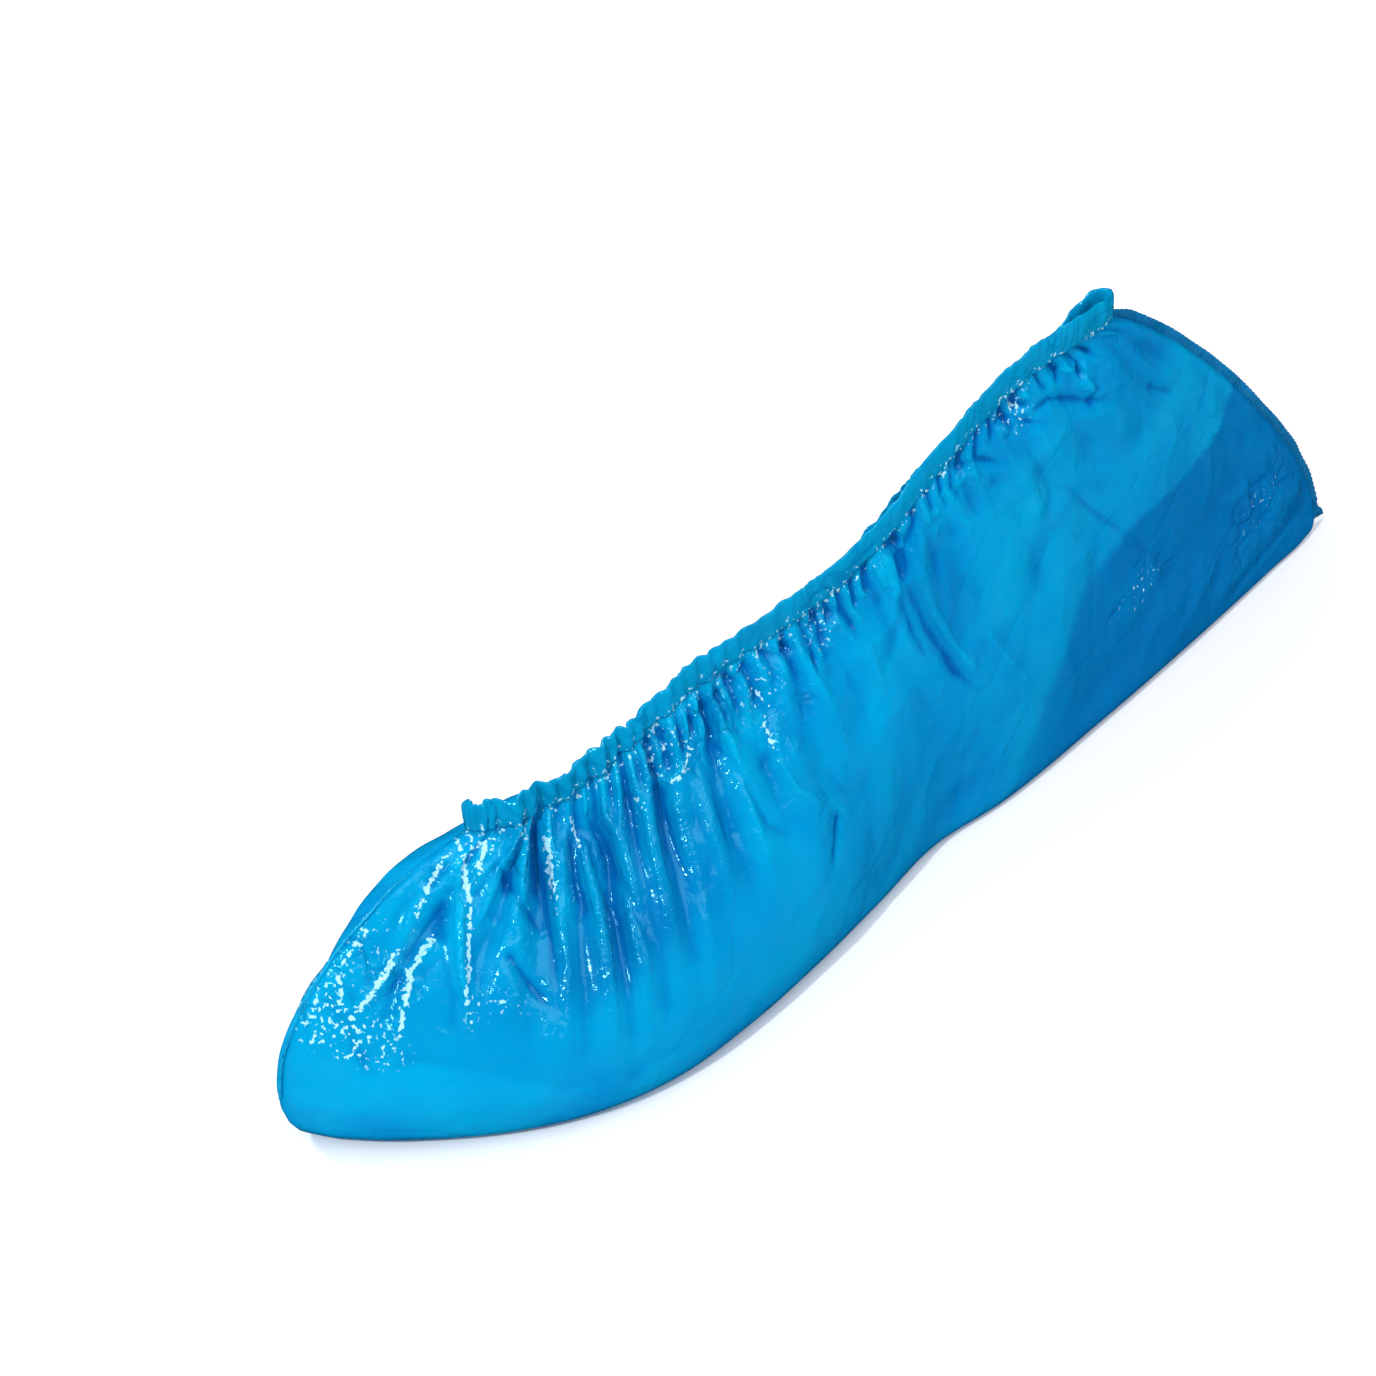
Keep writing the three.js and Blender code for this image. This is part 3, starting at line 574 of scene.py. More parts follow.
def relief(wall, settings):
    """Height of the folded film above its smooth face, in millimetres."""
    along, below, u = wall.along, wall.below, wall.round
    rear = np.abs(along)
    below_rim = np.maximum(below, 0)
    # Everything fades at the mouth's corners, on the ground and beside the far half's toe
    corner = smooth_step(rear, 0.5, 7) * smooth_step(RIM_RUN - rear, 1, 9)
    sole_fade = smooth_step(wall.smooth[:, :, 2], 2.0, 15.0)
    calm_toe = np.where(along < 0, 0.25 + 0.75 * smooth_step(-along, 34, 62), 1)

    height = gathers(wall)
    front = 1 - 0.62 * smooth_step(rear, 60, 105) + 0.45 * smooth_step(-along, *FAR_SIDE)
    front = front * calm_toe
    for k, (pitch, size, peak, run) in enumerate(RUFFLES):
        drift = 0.9 * soft_noise(u, below * 0.35, 26, 300 + k)
        size = size * (1 + 0.5 * soft_noise(u, below * 0.3, 30, 320 + k))
        at_rim = 0.26 + 0.46 * (1 - smooth_step(rear, 28, 48))
        window = np.where(below < peak, at_rim + (1 - at_rim) * below_rim / peak,
                          run_off(below_rim, peak, run))
        height += size * front * corner * window * folded_wave(along / pitch + drift + 0.3 * k)
    height += settings.crumple * sole_fade * smooth_step(below, -3, 10) * crumpling(wall)
    slack = OUT.slack(u)
    height += slumped_folds(wall, sole_fade * (1 - 0.75 * slack))
    height += settings.crease * single_creases(wall) * calm_toe
    return height * np.minimum(corner + 0.25, 1) * (1 - 0.5 * slack)


def rings_of(wall, settings):
    """The film's outer face with its folds, in millimetres, and the height of the folds."""
    height = relief(wall, settings)
    # The folds fade towards the ground, and the collar keeps them whole
    fade = smooth_step(wall.smooth[:, :, 2], 0.3, 10.0)
    fade[:, len(wall.levels):] = 1
    return wall.smooth + wall.normal * (height * fade)[:, :, None], height


def spaced_places(count):
    """Places of the mesh columns round the loop, closer together where the gathers are."""
    fine = np.linspace(0, OUT.total / 2, 2001)
    ahead = OUT.value(fine, "ahead")
    weight = 0.8 + 0.55 * smooth_step(ahead, 175, 215) - 0.1 * smooth_step(60 - ahead, 0, 30)
    run = np.concatenate([[0], np.cumsum((weight[1:] + weight[:-1]) / 2)])
    half = np.interp(np.linspace(0, run[-1], count // 2 + 1), run, fine)
    return np.concatenate([half, OUT.total - half[1:-1][::-1]])


def only(*objects):
    """Selects these objects and nothing else."""
    bpy.ops.object.select_all(action="DESELECT")
    for obj in objects:
        obj.select_set(True)
    bpy.context.view_layer.objects.active = objects[0]


def mesh_piece(name, points, faces, values=None):
    """A new object from points in millimetres, with faces pointing outwards."""
    mesh = bpy.data.meshes.new(name)
    mesh.from_pydata((np.asarray(points) * MM).tolist(), [], [list(map(int, f)) for f in faces])
    mesh.validate()
    for key, value in (values or {}).items():
        layer = mesh.attributes.new(key, "FLOAT", "POINT")
        layer.data.foreach_set("value", np.asarray(value, np.float32).ravel())
    obj = bpy.data.objects.new(name, mesh)
    bpy.context.scene.collection.objects.link(obj)
    mesh.polygons.foreach_set("use_smooth", [True] * len(mesh.polygons))
    mesh.update()
    return obj


MERGE_WITHIN = 0.02


def grid_faces(columns, rows, loop=False, closed=False):
    """Quads between columns of points, whose ends meet in a loop and in closed rows."""
    index = np.arange(columns * rows).reshape(columns, rows)
    if loop:
        index = np.concatenate([index, index[:1]])
    if closed:
        index = np.concatenate([index, index[:, :1]], 1)
    corners = index[:-1, :-1], index[1:, :-1], index[1:, 1:], index[:-1, 1:]
    return np.stack(corners, -1).reshape(-1, 4)


def merge_doubles(obj):
    """Closes the points that lie on each other, as at the ends of the sole."""
    only(obj)
    bpy.ops.object.mode_set(mode="EDIT")
    bpy.ops.mesh.select_all(action="SELECT")
    bpy.ops.mesh.remove_doubles(threshold=MERGE_WITHIN * MM)
    bpy.ops.object.mode_set(mode="OBJECT")


def apply_solidify(obj, thickness, offset=-1.0):
    """Gives a sheet its thickness."""
    only(obj)
    wall = obj.modifiers.new("thickness", "SOLIDIFY")
    wall.thickness = thickness * MM
    wall.offset = offset
    wall.use_even_offset = False
    bpy.ops.object.modifier_apply(modifier=wall.name)


def finish_piece(obj, material, slot, *nodes):
    """Gives a piece its finish, its body and the solids that it stands for. The slot is not used.
    """
    obj.data.materials.clear()
    obj.data.materials.append(material)
    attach(obj, "root")
    if nodes:
        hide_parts(*nodes)


def darker(colour, share):
    return tuple(share * c for c in colour)


class FilmNodes:
    """A material of nodes, with what adds them and joins them. Lengths are in metres."""

    def __init__(self, name):
        self.material = bpy.data.materials.new(name)
        self.material.use_nodes = True
        self.tree = self.material.node_tree
        self.shader = self.tree.nodes["Principled BSDF"]
        self.spot = self.add("ShaderNodeTexCoord").outputs["Object"]

    def feed(self, node, inputs):
        """Joins sockets to a node's inputs, and sets the inputs that have a plain value."""
        for key, value in inputs.items():
            if isinstance(value, bpy.types.NodeSocket):
                self.tree.links.new(value, node.inputs[key])
            else:
                node.inputs[key].default_value = value

    def add(self, kind, inputs=None, **settings):
        made = self.tree.nodes.new(kind)
        for key, value in settings.items():
            setattr(made, key, value)
        self.feed(made, inputs or {})
        return made

    def noise(self, scale, detail=2.0, roughness=0.5, distortion=0.0, output="Fac"):
        inputs = {"Vector": self.spot, "Scale": scale, "Detail": detail,
                  "Roughness": roughness, "Distortion": distortion}
        return self.add("ShaderNodeTexNoise", inputs).outputs[output]

    def wandering(self, scale, amount):
        """Object coordinates pushed about by noise, so that a pattern runs irregularly."""
        inputs = {0: self.noise(scale, output="Color"), 1: (amount,) * 3, 2: self.spot}
        return self.add("ShaderNodeVectorMath", inputs, operation="MULTIPLY_ADD").outputs[0]

    def cells(self, scale, wander):
        """Distance from the edges of random cells, whose edges wander."""
        inputs = {"Scale": scale, "Vector": self.wandering(scale * 0.6, wander)}
        made = self.add("ShaderNodeTexVoronoi", inputs, feature="DISTANCE_TO_EDGE")
        return made.outputs["Distance"]

    def value(self, name):
        return self.add("ShaderNodeAttribute", attribute_name=name).outputs["Fac"]

    def scaled(self, socket, low, high, to_low=0.0, to_high=1.0):
        inputs = {"Value": socket, "From Min": low, "From Max": high,
                  "To Min": to_low, "To Max": to_high}
        return self.add("ShaderNodeMapRange", inputs).outputs["Result"]

    def maths(self, operation, a, b):
        return self.add("ShaderNodeMath", {0: a, 1: b}, operation=operation).outputs[0]

    def mix(self, share, a, b):
        a, b = [c if isinstance(c, bpy.types.NodeSocket) else (*c, 1) for c in (a, b)]
        inputs = {"Factor": share, 6: a, 7: b}
        return self.add("ShaderNodeMix", inputs, data_type="RGBA").outputs[2]

    def bump(self, height, distance, strength=1.0, below=None):
        inputs = {"Strength": strength, "Distance": distance, "Height": height}
        if below is not None:
            inputs["Normal"] = below
        return self.add("ShaderNodeBump", inputs).outputs["Normal"]


# Painted highlight on the ridges of the folds
RIDGE_HIGHLIGHT_CYAN = (0.0, 0.42, 0.70)
# Pale colour of the painted glints
PAINTED_GLINT_PALE = (0.48, 0.86, 0.95)
# Painted shade in the folds of the hem and of the welds
HEM_FOLD_SHADE = (0.0, 0.09, 0.34)
WELD_FOLD_SHADE = (0.0, 0.08, 0.32)
# Roughness and specular level of the loose film and of the welds
FILM_GLOSS = (0.13, 0.45)
WELD_GLOSS = (0.25, 0.4)
GLINT_TINT = (0.3, 0.9, 1.0, 1)


def film_finish(name, light, deep, crease, roughness, specular):
    """Thin glossy film: painted shade in its folds and painted highlight on their ridges, painted
    glints as pale lines and spots, fine creases where it is crumpled.
    """
    nodes = FilmNodes(name)
    crumpled = nodes.value("crumpled")
    fold_shade_and_highlight = nodes.value("fold_shade_and_highlight")
    # Thin folded lines: long faint ones all over, and broken short ones in the crumpled places,
    # the short ones also drawn as painted shade
    long_lines = nodes.scaled(nodes.cells(34, 0.018), 0.0, 0.035)
    some = nodes.scaled(nodes.noise(70, 2), 0.51, 0.60)
    drawn = nodes.maths("MULTIPLY", some, nodes.scaled(crumpled, 0.1, 0.6))
    short_lines = nodes.scaled(nodes.cells(150, 0.009), 0.0, 0.14)
    short_cuts = nodes.maths("MULTIPLY", nodes.maths("SUBTRACT", 1.0, short_lines), drawn)

    broad = nodes.scaled(nodes.noise(24, 3, 0.55, 0.8), 0.36, 0.64)
    colour = nodes.mix(broad, deep, light)
    # Painted highlight on the fold ridges, and painted shade in the fold hollows
    ridge_highlight = nodes.scaled(fold_shade_and_highlight, -0.15, -0.9, 0, 0.45)
    colour = nodes.mix(ridge_highlight, colour, RIDGE_HIGHLIGHT_CYAN)
    valley = nodes.scaled(fold_shade_and_highlight, 0.08, 1.1, 0, 0.85)
    colour = nodes.mix(valley, colour, crease)
    # Painted shade along the short crease lines
    colour = nodes.mix(nodes.maths("MULTIPLY", short_cuts, 0.35), colour, crease)
    # Painted shade, and a darker blue where the film lies double
    doubled_and_shaded_blue = (0.0, 0.52 * deep[1], 0.68 * deep[2])
    colour = nodes.mix(nodes.value("doubled_and_shade"), colour, doubled_and_shaded_blue)
    # Painted glints: the stronger the mark, the more of the fine noise shows pale, up to a whole
    # line
    glint_marks = nodes.value("painted_glint")
    spots = nodes.maths("ADD", nodes.noise(900, 1), nodes.maths("MULTIPLY", glint_marks, 0.34))
    spots = nodes.scaled(spots, 0.69, 0.76)
    spots = nodes.maths("MULTIPLY", spots, nodes.scaled(glint_marks, 0.04, 0.2))
    colour = nodes.mix(nodes.maths("MULTIPLY", spots, 0.8), colour, PAINTED_GLINT_PALE)

    rough = nodes.scaled(nodes.noise(160, 3, 0.6), 0.3, 0.7, roughness * 0.7, roughness * 1.35)
    normal = nodes.bump(nodes.noise(46, 2, 0.5, 0.6), 0.0022, 0.45)
    grained = nodes.maths("MAXIMUM", nodes.scaled(crumpled, 0, 1, 0.3, 1.3),
                          nodes.scaled(fold_shade_and_highlight, -0.1, -0.7, 0.3, 1.5))
    grain = nodes.maths("MULTIPLY", nodes.noise(420, 2, 0.5, 1.2), grained)
    normal = nodes.bump(grain, 0.0006, 0.6, normal)
    normal = nodes.bump(long_lines, 0.00022, 0.5, normal)
    normal = nodes.bump(nodes.maths("SUBTRACT", 1.0, short_cuts), 0.0005, 0.7, normal)
    nodes.feed(nodes.shader, {
        "Base Color": colour, "Roughness": rough, "IOR": 1.5, "Specular IOR Level": specular,
        "Specular Tint": GLINT_TINT, "Normal": normal,
    })
    return nodes.material


class FilmSettings(bpy.types.PropertyGroup):
    columns: IntProperty(name="Columns", description="Mesh columns on each half", default=450)
    wall_rings: IntProperty(name="Wall rings", description="Mesh rings up the wall", default=94)
    sole_cells: IntProperty(name="Sole cells", description="Mesh cells to the middle of the sole",
                            default=6)
    thickness: FloatProperty(name="Film thickness", description="Thickness in millimetres",
                             default=0.25, min=0.05, max=1.0)
    crumple: FloatProperty(name="Crumple", description="Strength of the crumpling", default=1.0)
    crease: FloatProperty(name="Creases", description="Strength of the single creases",
                          default=1.0)
    flat_size: FloatVectorProperty(name="Cut size", size=2, unit="LENGTH",
                                   description="Height and length of one half, laid flat",
                                   default=(0.145, 0.40))
    flat_area: FloatProperty(name="Cut area", description="Flat area of one half, square metres",
                             default=0.049)
    light: FloatVectorProperty(name="Film blue", subtype="COLOR", size=3,
                               description="Colour of the smooth film", default=(0.0, 0.31, 0.59))
    deep: FloatVectorProperty(name="Deep blue", subtype="COLOR", size=3,
                              description="Colour of the shaded film", default=(0.0, 0.235, 0.545))
    # Painted shade: the colour in the deepest folds and along the short crease lines
    fold_shade_blue: FloatVectorProperty(name="Crease blue", subtype="COLOR", size=3,
                                     description="Colour inside the deepest folds",
                                     default=(0.0, 0.075, 0.34))


class HemSettings(bpy.types.PropertyGroup):
    columns: IntProperty(name="Columns", description="Mesh columns round the mouth", default=1100)
    thickness: FloatProperty(name="Film thickness", description="Thickness in millimetres",
                             default=0.25, min=0.05, max=1.0)
    crimp_pitch: FloatProperty(name="Crimp pitch", description="Pitch of the weld, millimetres",
                               default=5.2)
    colour: FloatVectorProperty(name="Hem colour", subtype="COLOR", size=3,
                                description="Colour of the doubled film",
                                default=(0.0, 0.275, 0.53))
    elastic: FloatVectorProperty(name="Elastic colour", subtype="COLOR", size=3,
                                 description="Colour of the elastic", default=(0.72, 0.78, 0.82))


class WeldSettings(bpy.types.PropertyGroup):
    heel_width: FloatProperty(name="Heel weld width", description="Width in millimetres",
                              default=2.6)
    toe_width: FloatProperty(name="Toe weld width", description="Width in millimetres",
                             default=1.0)
    thickness: FloatProperty(name="Weld thickness", description="Thickness in millimetres",
                             default=0.55)
    colour: FloatVectorProperty(name="Weld colour", subtype="COLOR", size=3,
                                description="Colour of the welded film",
                                default=(0.0, 0.235, 0.51))


class StageSettings(bpy.types.PropertyGroup):
    azimuth: FloatProperty(name="Azimuth", subtype="ANGLE", description="Camera turned from -Y",
                           default=math.radians(48))
    elevation: FloatProperty(name="Elevation", subtype="ANGLE",
                             description="Camera above the horizon", default=math.radians(39.4))
    distance: FloatProperty(name="Distance", unit="LENGTH", description="Camera from its target",
                            default=0.8662)
    target: FloatVectorProperty(name="Target", unit="LENGTH", size=3,
                                description="Point that the camera looks at",
                                default=(-0.016785, -0.036549, 0.045))
    lens: FloatProperty(name="Lens", description="Focal length in millimetres", default=100)
    floor: FloatVectorProperty(name="Floor colour", subtype="COLOR", size=3,
                               description="Colour of the floor", default=(0.93, 0.93, 0.93))


class ShoeCoverSettings(bpy.types.PropertyGroup):
    film: PointerProperty(type=FilmSettings, name="Film", description="The bag of film")
    hem: PointerProperty(type=HemSettings, name="Hem", description="The hem and its elastic")
    weld: PointerProperty(type=WeldSettings, name="Welds", description="The welds at both ends")
    stage: PointerProperty(type=StageSettings, name="Stage", description="Floor, light, camera")


def box_mean(height, reach):
    """Average of each place's neighbours, along the loop and up the wall."""
    for axis in (0, 1):
        index = np.arange(height.shape[axis])
        last = index[-1]
        steps = range(-reach, reach + 1)
        moved = [np.take(height, np.clip(index + i, 0, last), axis) for i in steps]
        height = sum(moved) / len(moved)
    return height


def cavity(height):
    """How much lower the film lies at each place than on average close by, for its colour: painted
    shade in the hollows and a painted highlight on the ridges.
    """
    return 1.5 * (box_mean(height, 2) - height) + 0.7 * (box_mean(height, 7) - height)


def shade_and_gusset_zone(wall):
    """Share of the wall where the bag's folded gusset lies behind the film and darkens it, and of
    painted shade over the gathers, the foot of the wall, the toe's side and broad patches.
    """
    rear = np.abs(wall.along)
    # The gusset behind the heel
    edge = np.interp(rear, GUSSET_ALONG, GUSSET_BELOW)
    soft = np.interp(rear, (140, 180), (16, 1.6))
    gusset = 0.8 * smooth_step(rear, 108, 156) * smooth_step(wall.below, edge, edge + soft)
    patches = 1 + 0.6 * soft_noise(wall.round, wall.below, 11, 63)
    # Painted shade over the gathers below the mouth's front, the foot of the wall and the side of
    # the toe
    gathered = smooth_step(rear, 12, 22) * (1 - smooth_step(rear, 50, 72))
    gathered = gathered * smooth_step(wall.below, 1, 10) * (1 - smooth_step(wall.below, 38, 50))
    low = smooth_step(rear, 40, 90) * smooth_step(wall.below, 30, 80)
    band = np.interp(rear, TOE_BAND_ALONG, TOE_BAND_BELOW)
    toe = smooth_step(rear, 1, 6) * (1 - smooth_step(rear, 44, 60))
    toe = toe * smooth_step(wall.below, 26, 44) * (1 - smooth_step(wall.below, band - 1, band + 1))
    shade = 0.38 * gathered * patches + 0.28 * low + 0.22 * toe
    for place, deep, wide, tall, share in SHADED:
        away = np.hypot((rear - place) / wide, (wall.below - deep) / tall)
        shade = shade + share * smooth_step(-away, -1.0, -0.45) * (0.6 + 0.4 * patches)
    shade = shade * np.where(rear < 80, smooth_step(wall.along, -4, 0), 1)
    return np.clip(np.maximum(gusset, shade), 0, 1)


def film_half(settings, near):
    """One half of the bag, from the middle of the sole to the rim, with its gathers."""
    half = spaced_places(2 * settings.columns)[:settings.columns + 1]
    places = half if near else (OUT.total - half)[::-1]
    lower_edge = np.linspace(0, 1, 6)
    rise = np.linspace(0, 1, settings.wall_rings + 1)[1:]
    levels = np.concatenate([lower_edge, 1 + rise + 0.08 * np.sin(math.pi * rise)])
    wall = Wall(places, levels, COLLAR_RINGS)
    rings, height = rings_of(wall, settings)
    rings[[0, -1], :, 0] = 0
    # The sole, with low bumps between its edge and its middle
    cells = settings.sole_cells
    sole = []
    for k in range(cells, 0, -1):
        row = rings[:, 0] * np.array([1 - k / cells, 1, 1])
        bumps = soft_noise(row[:, 1] * 2 + 400, row[:, 0] * 2 + 200, 26, 77)
        row[:, 2] = np.clip(bumps + 0.1, 0, 1) * 1.2 * math.sin(math.pi * k / cells / 2) ** 2
        sole.append(row)
    grid = np.concatenate([np.stack(sole, 1), rings], 1)
    crumpled = np.clip(crumpled_patches(wall) * 0.6, 0, 1)
    crumpled += 0.35 * (1 - smooth_step(wall.below, 8, 26))
    values = {"fold_shade_and_highlight": cavity(height), "doubled_and_shade": shade_and_gusset_zone(wall),
              "crumpled": np.clip(crumpled, 0, 1), "painted_glint": painted_glint(wall)}
    # All of them are 0 on the sole
    values = {key: np.pad(value, ((0, 0), (cells, 0))) for key, value in values.items()}
    film = mesh_piece("film_near" if near else "film_far", grid.reshape(-1, 3),
                      grid_faces(*grid.shape[:2]), values)
    merge_doubles(film)
    apply_solidify(film, settings.thickness)
    return film


class SHOECOVER_OT_film(bpy.types.Operator):
    """Makes both halves of the bag, with sole, walls, rounded toe and flat heel"""

    bl_idname = "shoecover.film"
    bl_label = "Film bag"

    def execute(self, context):
        settings = context.scene.shoe_cover.film
        material = film_finish("blue_film", tuple(settings.light), tuple(settings.deep),
                               tuple(settings.fold_shade_blue), *FILM_GLOSS)
        for near in (True, False):
            finish_piece(film_half(settings, near), material, "film", "film_body")
        return {"FINISHED"}


def rim_frame(settings, places):
    """Points of the ruffled rim, in millimetres, and its outward directions."""
    wall = Wall(places, np.array([1.96, 2.0]), COLLAR_RINGS)
    wall.below[:, :2] = np.array([1.0, 0.0])
    rings, _ = rings_of(wall, settings)
    rim = rings[:, -1]
    along = np.roll(rim, -1, axis=0) - np.roll(rim, 1, axis=0)
    smooth_along = np.roll(along, 1, axis=0) + along + np.roll(along, -1, axis=0)
    outward = np.stack([smooth_along[:, 1], -smooth_along[:, 0], np.zeros(len(rim))], -1)
    outward /= np.linalg.norm(outward, axis=1)[:, None]
    return rim, outward


HEM_HEIGHT = 7
# Section of the hem: out from the film, up from the film's edge, and share of the crimps
HEM_SECTION = (
    (0.34, -3.6, 0.9), (0.36, -2.9, 1.0), (0.38, -2.1, 0.8), (0.42, -1.1, 0.3), (0.46, 0, 0),
    (0.46, 1.0, 0), (0.36, 2.0, 0), (0.10, 2.9, 0), (-0.22, 3.45, 0), (-0.42, 3.45, 0),
    (-0.78, 2.9, 0), (-1.0, 2.0, 0), (-1.1, 1.2, 0), (-0.95, 0, 0), (-0.75, -1.4, 0.6),
    (-0.7, -2.7, 1.0), (-0.7, -3.4, 0.6),
)
# Section of the elastic in the same measures, as a flat ellipse of eight points
ELASTIC_SECTION = tuple((-0.45 + 0.26 * math.cos(angle), 1.3 + 0.8 * math.sin(angle), 0)
                        for angle in np.linspace(0, 2 * math.pi, 9)[:-1])
ELASTIC_COLUMNS = 700


def mouth_front(along):
    """1 at the front of the mouth, where the hem is gathered most, and 0 from its middle on."""
    return 1 - smooth_step(np.abs(along), 30, 52)


def hem_waves(along, u, rise):
    """How far the hem's film stands out in its pleats, and its unevenness, at one height."""
    slant = 1.5 * soft_noise(u, u * 0, 21, 93) * rise
    pleat = folded_wave((along + slant) / 4.3 + 1.6 * soft_noise(u, u * 0, 13, 92))
    pleat = pleat * (0.12 + 0.20 * mouth_front(along)) * (1 + 0.8 * soft_noise(u, u * 0, 9, 94))
    wobble = 0.2 * soft_noise(u * 1.6, np.full(len(u), rise * 2.5), 6, 91)
    return pleat, wobble * smooth_step(rise, -3.8, 0)


def hem_lift(along, u, rise):
    """How far the hem's upper edge stands up unevenly, at one height."""
    jitter = (0.5 * soft_noise(u, u * 0, 13, 95)
              + 0.5 * mouth_front(along) * soft_noise(u, u * 0, 5, 96))
    return jitter * max(0, (rise - HEM_SECTION[0][1]) / HEM_HEIGHT)


def swept_section(settings, count, section):
    """Points of a section swept round the ruffled mouth, and each column's place on the rim."""
    places = spaced_places(count)
    rim, outward = rim_frame(settings.film, places)
    along, u = OUT.rim_distances(places), np.mod(places, OUT.total)
    tooth = np.clip(np.cos(2 * math.pi * along / settings.hem.crimp_pitch), 0, 1) ** 3
    up = np.array([0, 0, 1.0])
    rows = []
    for out, rise, crimp in section:
        pleat, wobble = hem_waves(along, u, rise)
        pinch = 0.2 * crimp * tooth * (1 if out > 0 else -1)
        side = out + pinch + wobble + pleat * (1 - crimp)
        lift = hem_lift(along, u, rise) + 0.25 * wobble
        rows.append(rim + outward * side[:, None] + up * (rise + lift)[:, None])
    return np.stack(rows, 1), along


class SHOECOVER_OT_hem(bpy.types.Operator):
    """Makes the hem: film folded over the elastic and welded down below it, with its crimps"""

    bl_idname = "shoecover.hem"
    bl_label = "Mouth hem"

    def execute(self, context):
        settings = context.scene.shoe_cover
        points, along = swept_section(settings, settings.hem.columns, HEM_SECTION)
        shares = np.array([crimp for _, _, crimp in HEM_SECTION])
        crimped = np.repeat(shares[None], len(along), 0)
        # Painted glints on the hem's crimps, on the near half only
        hem = mesh_piece("hem", points.reshape(-1, 3), grid_faces(*points.shape[:2], loop=True),
                         {"fold_shade_and_highlight": 0 * crimped, "doubled_and_shade": 0.1 * crimped,
                          "crumpled": 0.5 + 0.5 * crimped,
                          "painted_glint": 0.25 * crimped * (along > 0)[:, None]})
        apply_solidify(hem, settings.hem.thickness)
        colour = tuple(settings.hem.colour)
        material = film_finish("hem_film", colour, darker(colour, 0.8), HEM_FOLD_SHADE, *FILM_GLOSS)
        finish_piece(hem, material, "hem_film", "mouth_hem")
        return {"FINISHED"}


def ribbed_finish(name, pale):
    """Dull woven elastic with fine ribs across it."""
    nodes = FilmNodes(name)
    wave = nodes.add("ShaderNodeTexWave", {"Vector": nodes.spot, "Scale": 260, "Distortion": 1.5},
                     wave_type="BANDS", bands_direction="Y")
    ribs = wave.outputs["Fac"]
    nodes.feed(nodes.shader, {"Base Color": nodes.mix(ribs, darker(pale, 0.8), pale),
                              "Roughness": 0.62, "Normal": nodes.bump(ribs, 0.0002)})
    return nodes.material


class SHOECOVER_OT_elastic(bpy.types.Operator):
    """Makes the flat elastic that lies inside the hem"""

    bl_idname = "shoecover.elastic"
    bl_label = "Elastic"

    def execute(self, context):
        settings = context.scene.shoe_cover
        points, _ = swept_section(settings, ELASTIC_COLUMNS, ELASTIC_SECTION)
        faces = grid_faces(*points.shape[:2], loop=True, closed=True)
        band = mesh_piece("elastic", points.reshape(-1, 3), faces)
        material = ribbed_finish("pale_elastic", tuple(settings.hem.elastic))
        finish_piece(band, material, "elastic", "elastic_band")
        return {"FINISHED"}


# Pitch of the crimps along a weld, how deep its root lies in the film, and its points across
WELD_PITCH = 1.9
WELD_ROOT = 0.35
WELD_ACROSS = 6
# Steps of a weld's line up the wall
WELD_STEPS = 181
# The toe's weld ends at this share of the way up to the hem
TOE_WELD_SHARE = 0.82
# The heel's weld: its foot, its corner beside the hem as steps from the collar's foot, and its
# widths at its corner on the ground
HEEL_FOOT = (0, LENGTH / 2 - 5.6, 0.9)
HEEL_TOP = ((0, 0.4, 1.4), (0, 0.7, 3.8), (0, 0.9, 6.2))
HEEL_FOOT_WIDTHS = (5.5, 4.6, 4.2, 3.8, 3.4, 3.0)


def weld_fin(name, node, line, outward, widths, settings, colour, shade):
    """A flat crimped fin with its finish, along a line in the middle plane, in millimetres."""
    line = line - outward * WELD_ROOT
    steps = np.concatenate([[0], np.cumsum(np.linalg.norm(np.diff(line, axis=0), axis=1))])
    crimp = np.sin(steps / WELD_PITCH * 2 * math.pi)
    points = []
    for share in np.linspace(0, 1, WELD_ACROSS):
        row = line + outward * (widths * share + 0.10 * crimp * share)[:, None]
        sway = 0.35 * share * np.sin(steps / 6.1 + 0.7) + 0.22 * share * np.sin(steps / 2.3)
        row[:, 0] += sway + 0.09 * crimp * (0.3 + 0.7 * share)
        points.append(row)
    grid = np.stack(points, 1)
    # Painted shade in the weld's crimps and a darker doubled tone, on the heel weld only
    fold_shade_and_highlight = np.repeat((0.3 * shade * (1 - crimp))[:, None], WELD_ACROSS, 1)
    fin = mesh_piece(name, grid.reshape(-1, 3), grid_faces(*grid.shape[:2]),
                     {"fold_shade_and_highlight": fold_shade_and_highlight, "doubled_and_shade": np.full(grid.shape[:2], 0.2 * shade),
                      "crumpled": np.full(grid.shape[:2], 0.7)})
    apply_solidify(fin, settings.weld.thickness, 0.0)
    material = film_finish("welded_film", colour, darker(colour, 0.75), WELD_FOLD_SHADE, *WELD_GLOSS)
    finish_piece(fin, material, "weld_film", node)


def middle_line(settings, heel):
    """The film's line in the middle plane, from its widest point to the collar's foot."""
    place = np.array([OUT.total / 2 if heel else 0.0, OUT.total / 4])
    levels = 1 + np.linspace(0, 1, WELD_STEPS)
    wall = Wall(place, levels, ())
    rings, _ = rings_of(wall, settings)
    line = rings[0]
    line[:, 0] = 0
    run = np.gradient(line, axis=0)
    run /= np.linalg.norm(run, axis=1)[:, None]
    outward = np.stack([np.zeros(len(run)), run[:, 2], -run[:, 1]], -1)
    outward[outward[:, 1] * line[:, 1] < 0] *= -1
    return line, outward


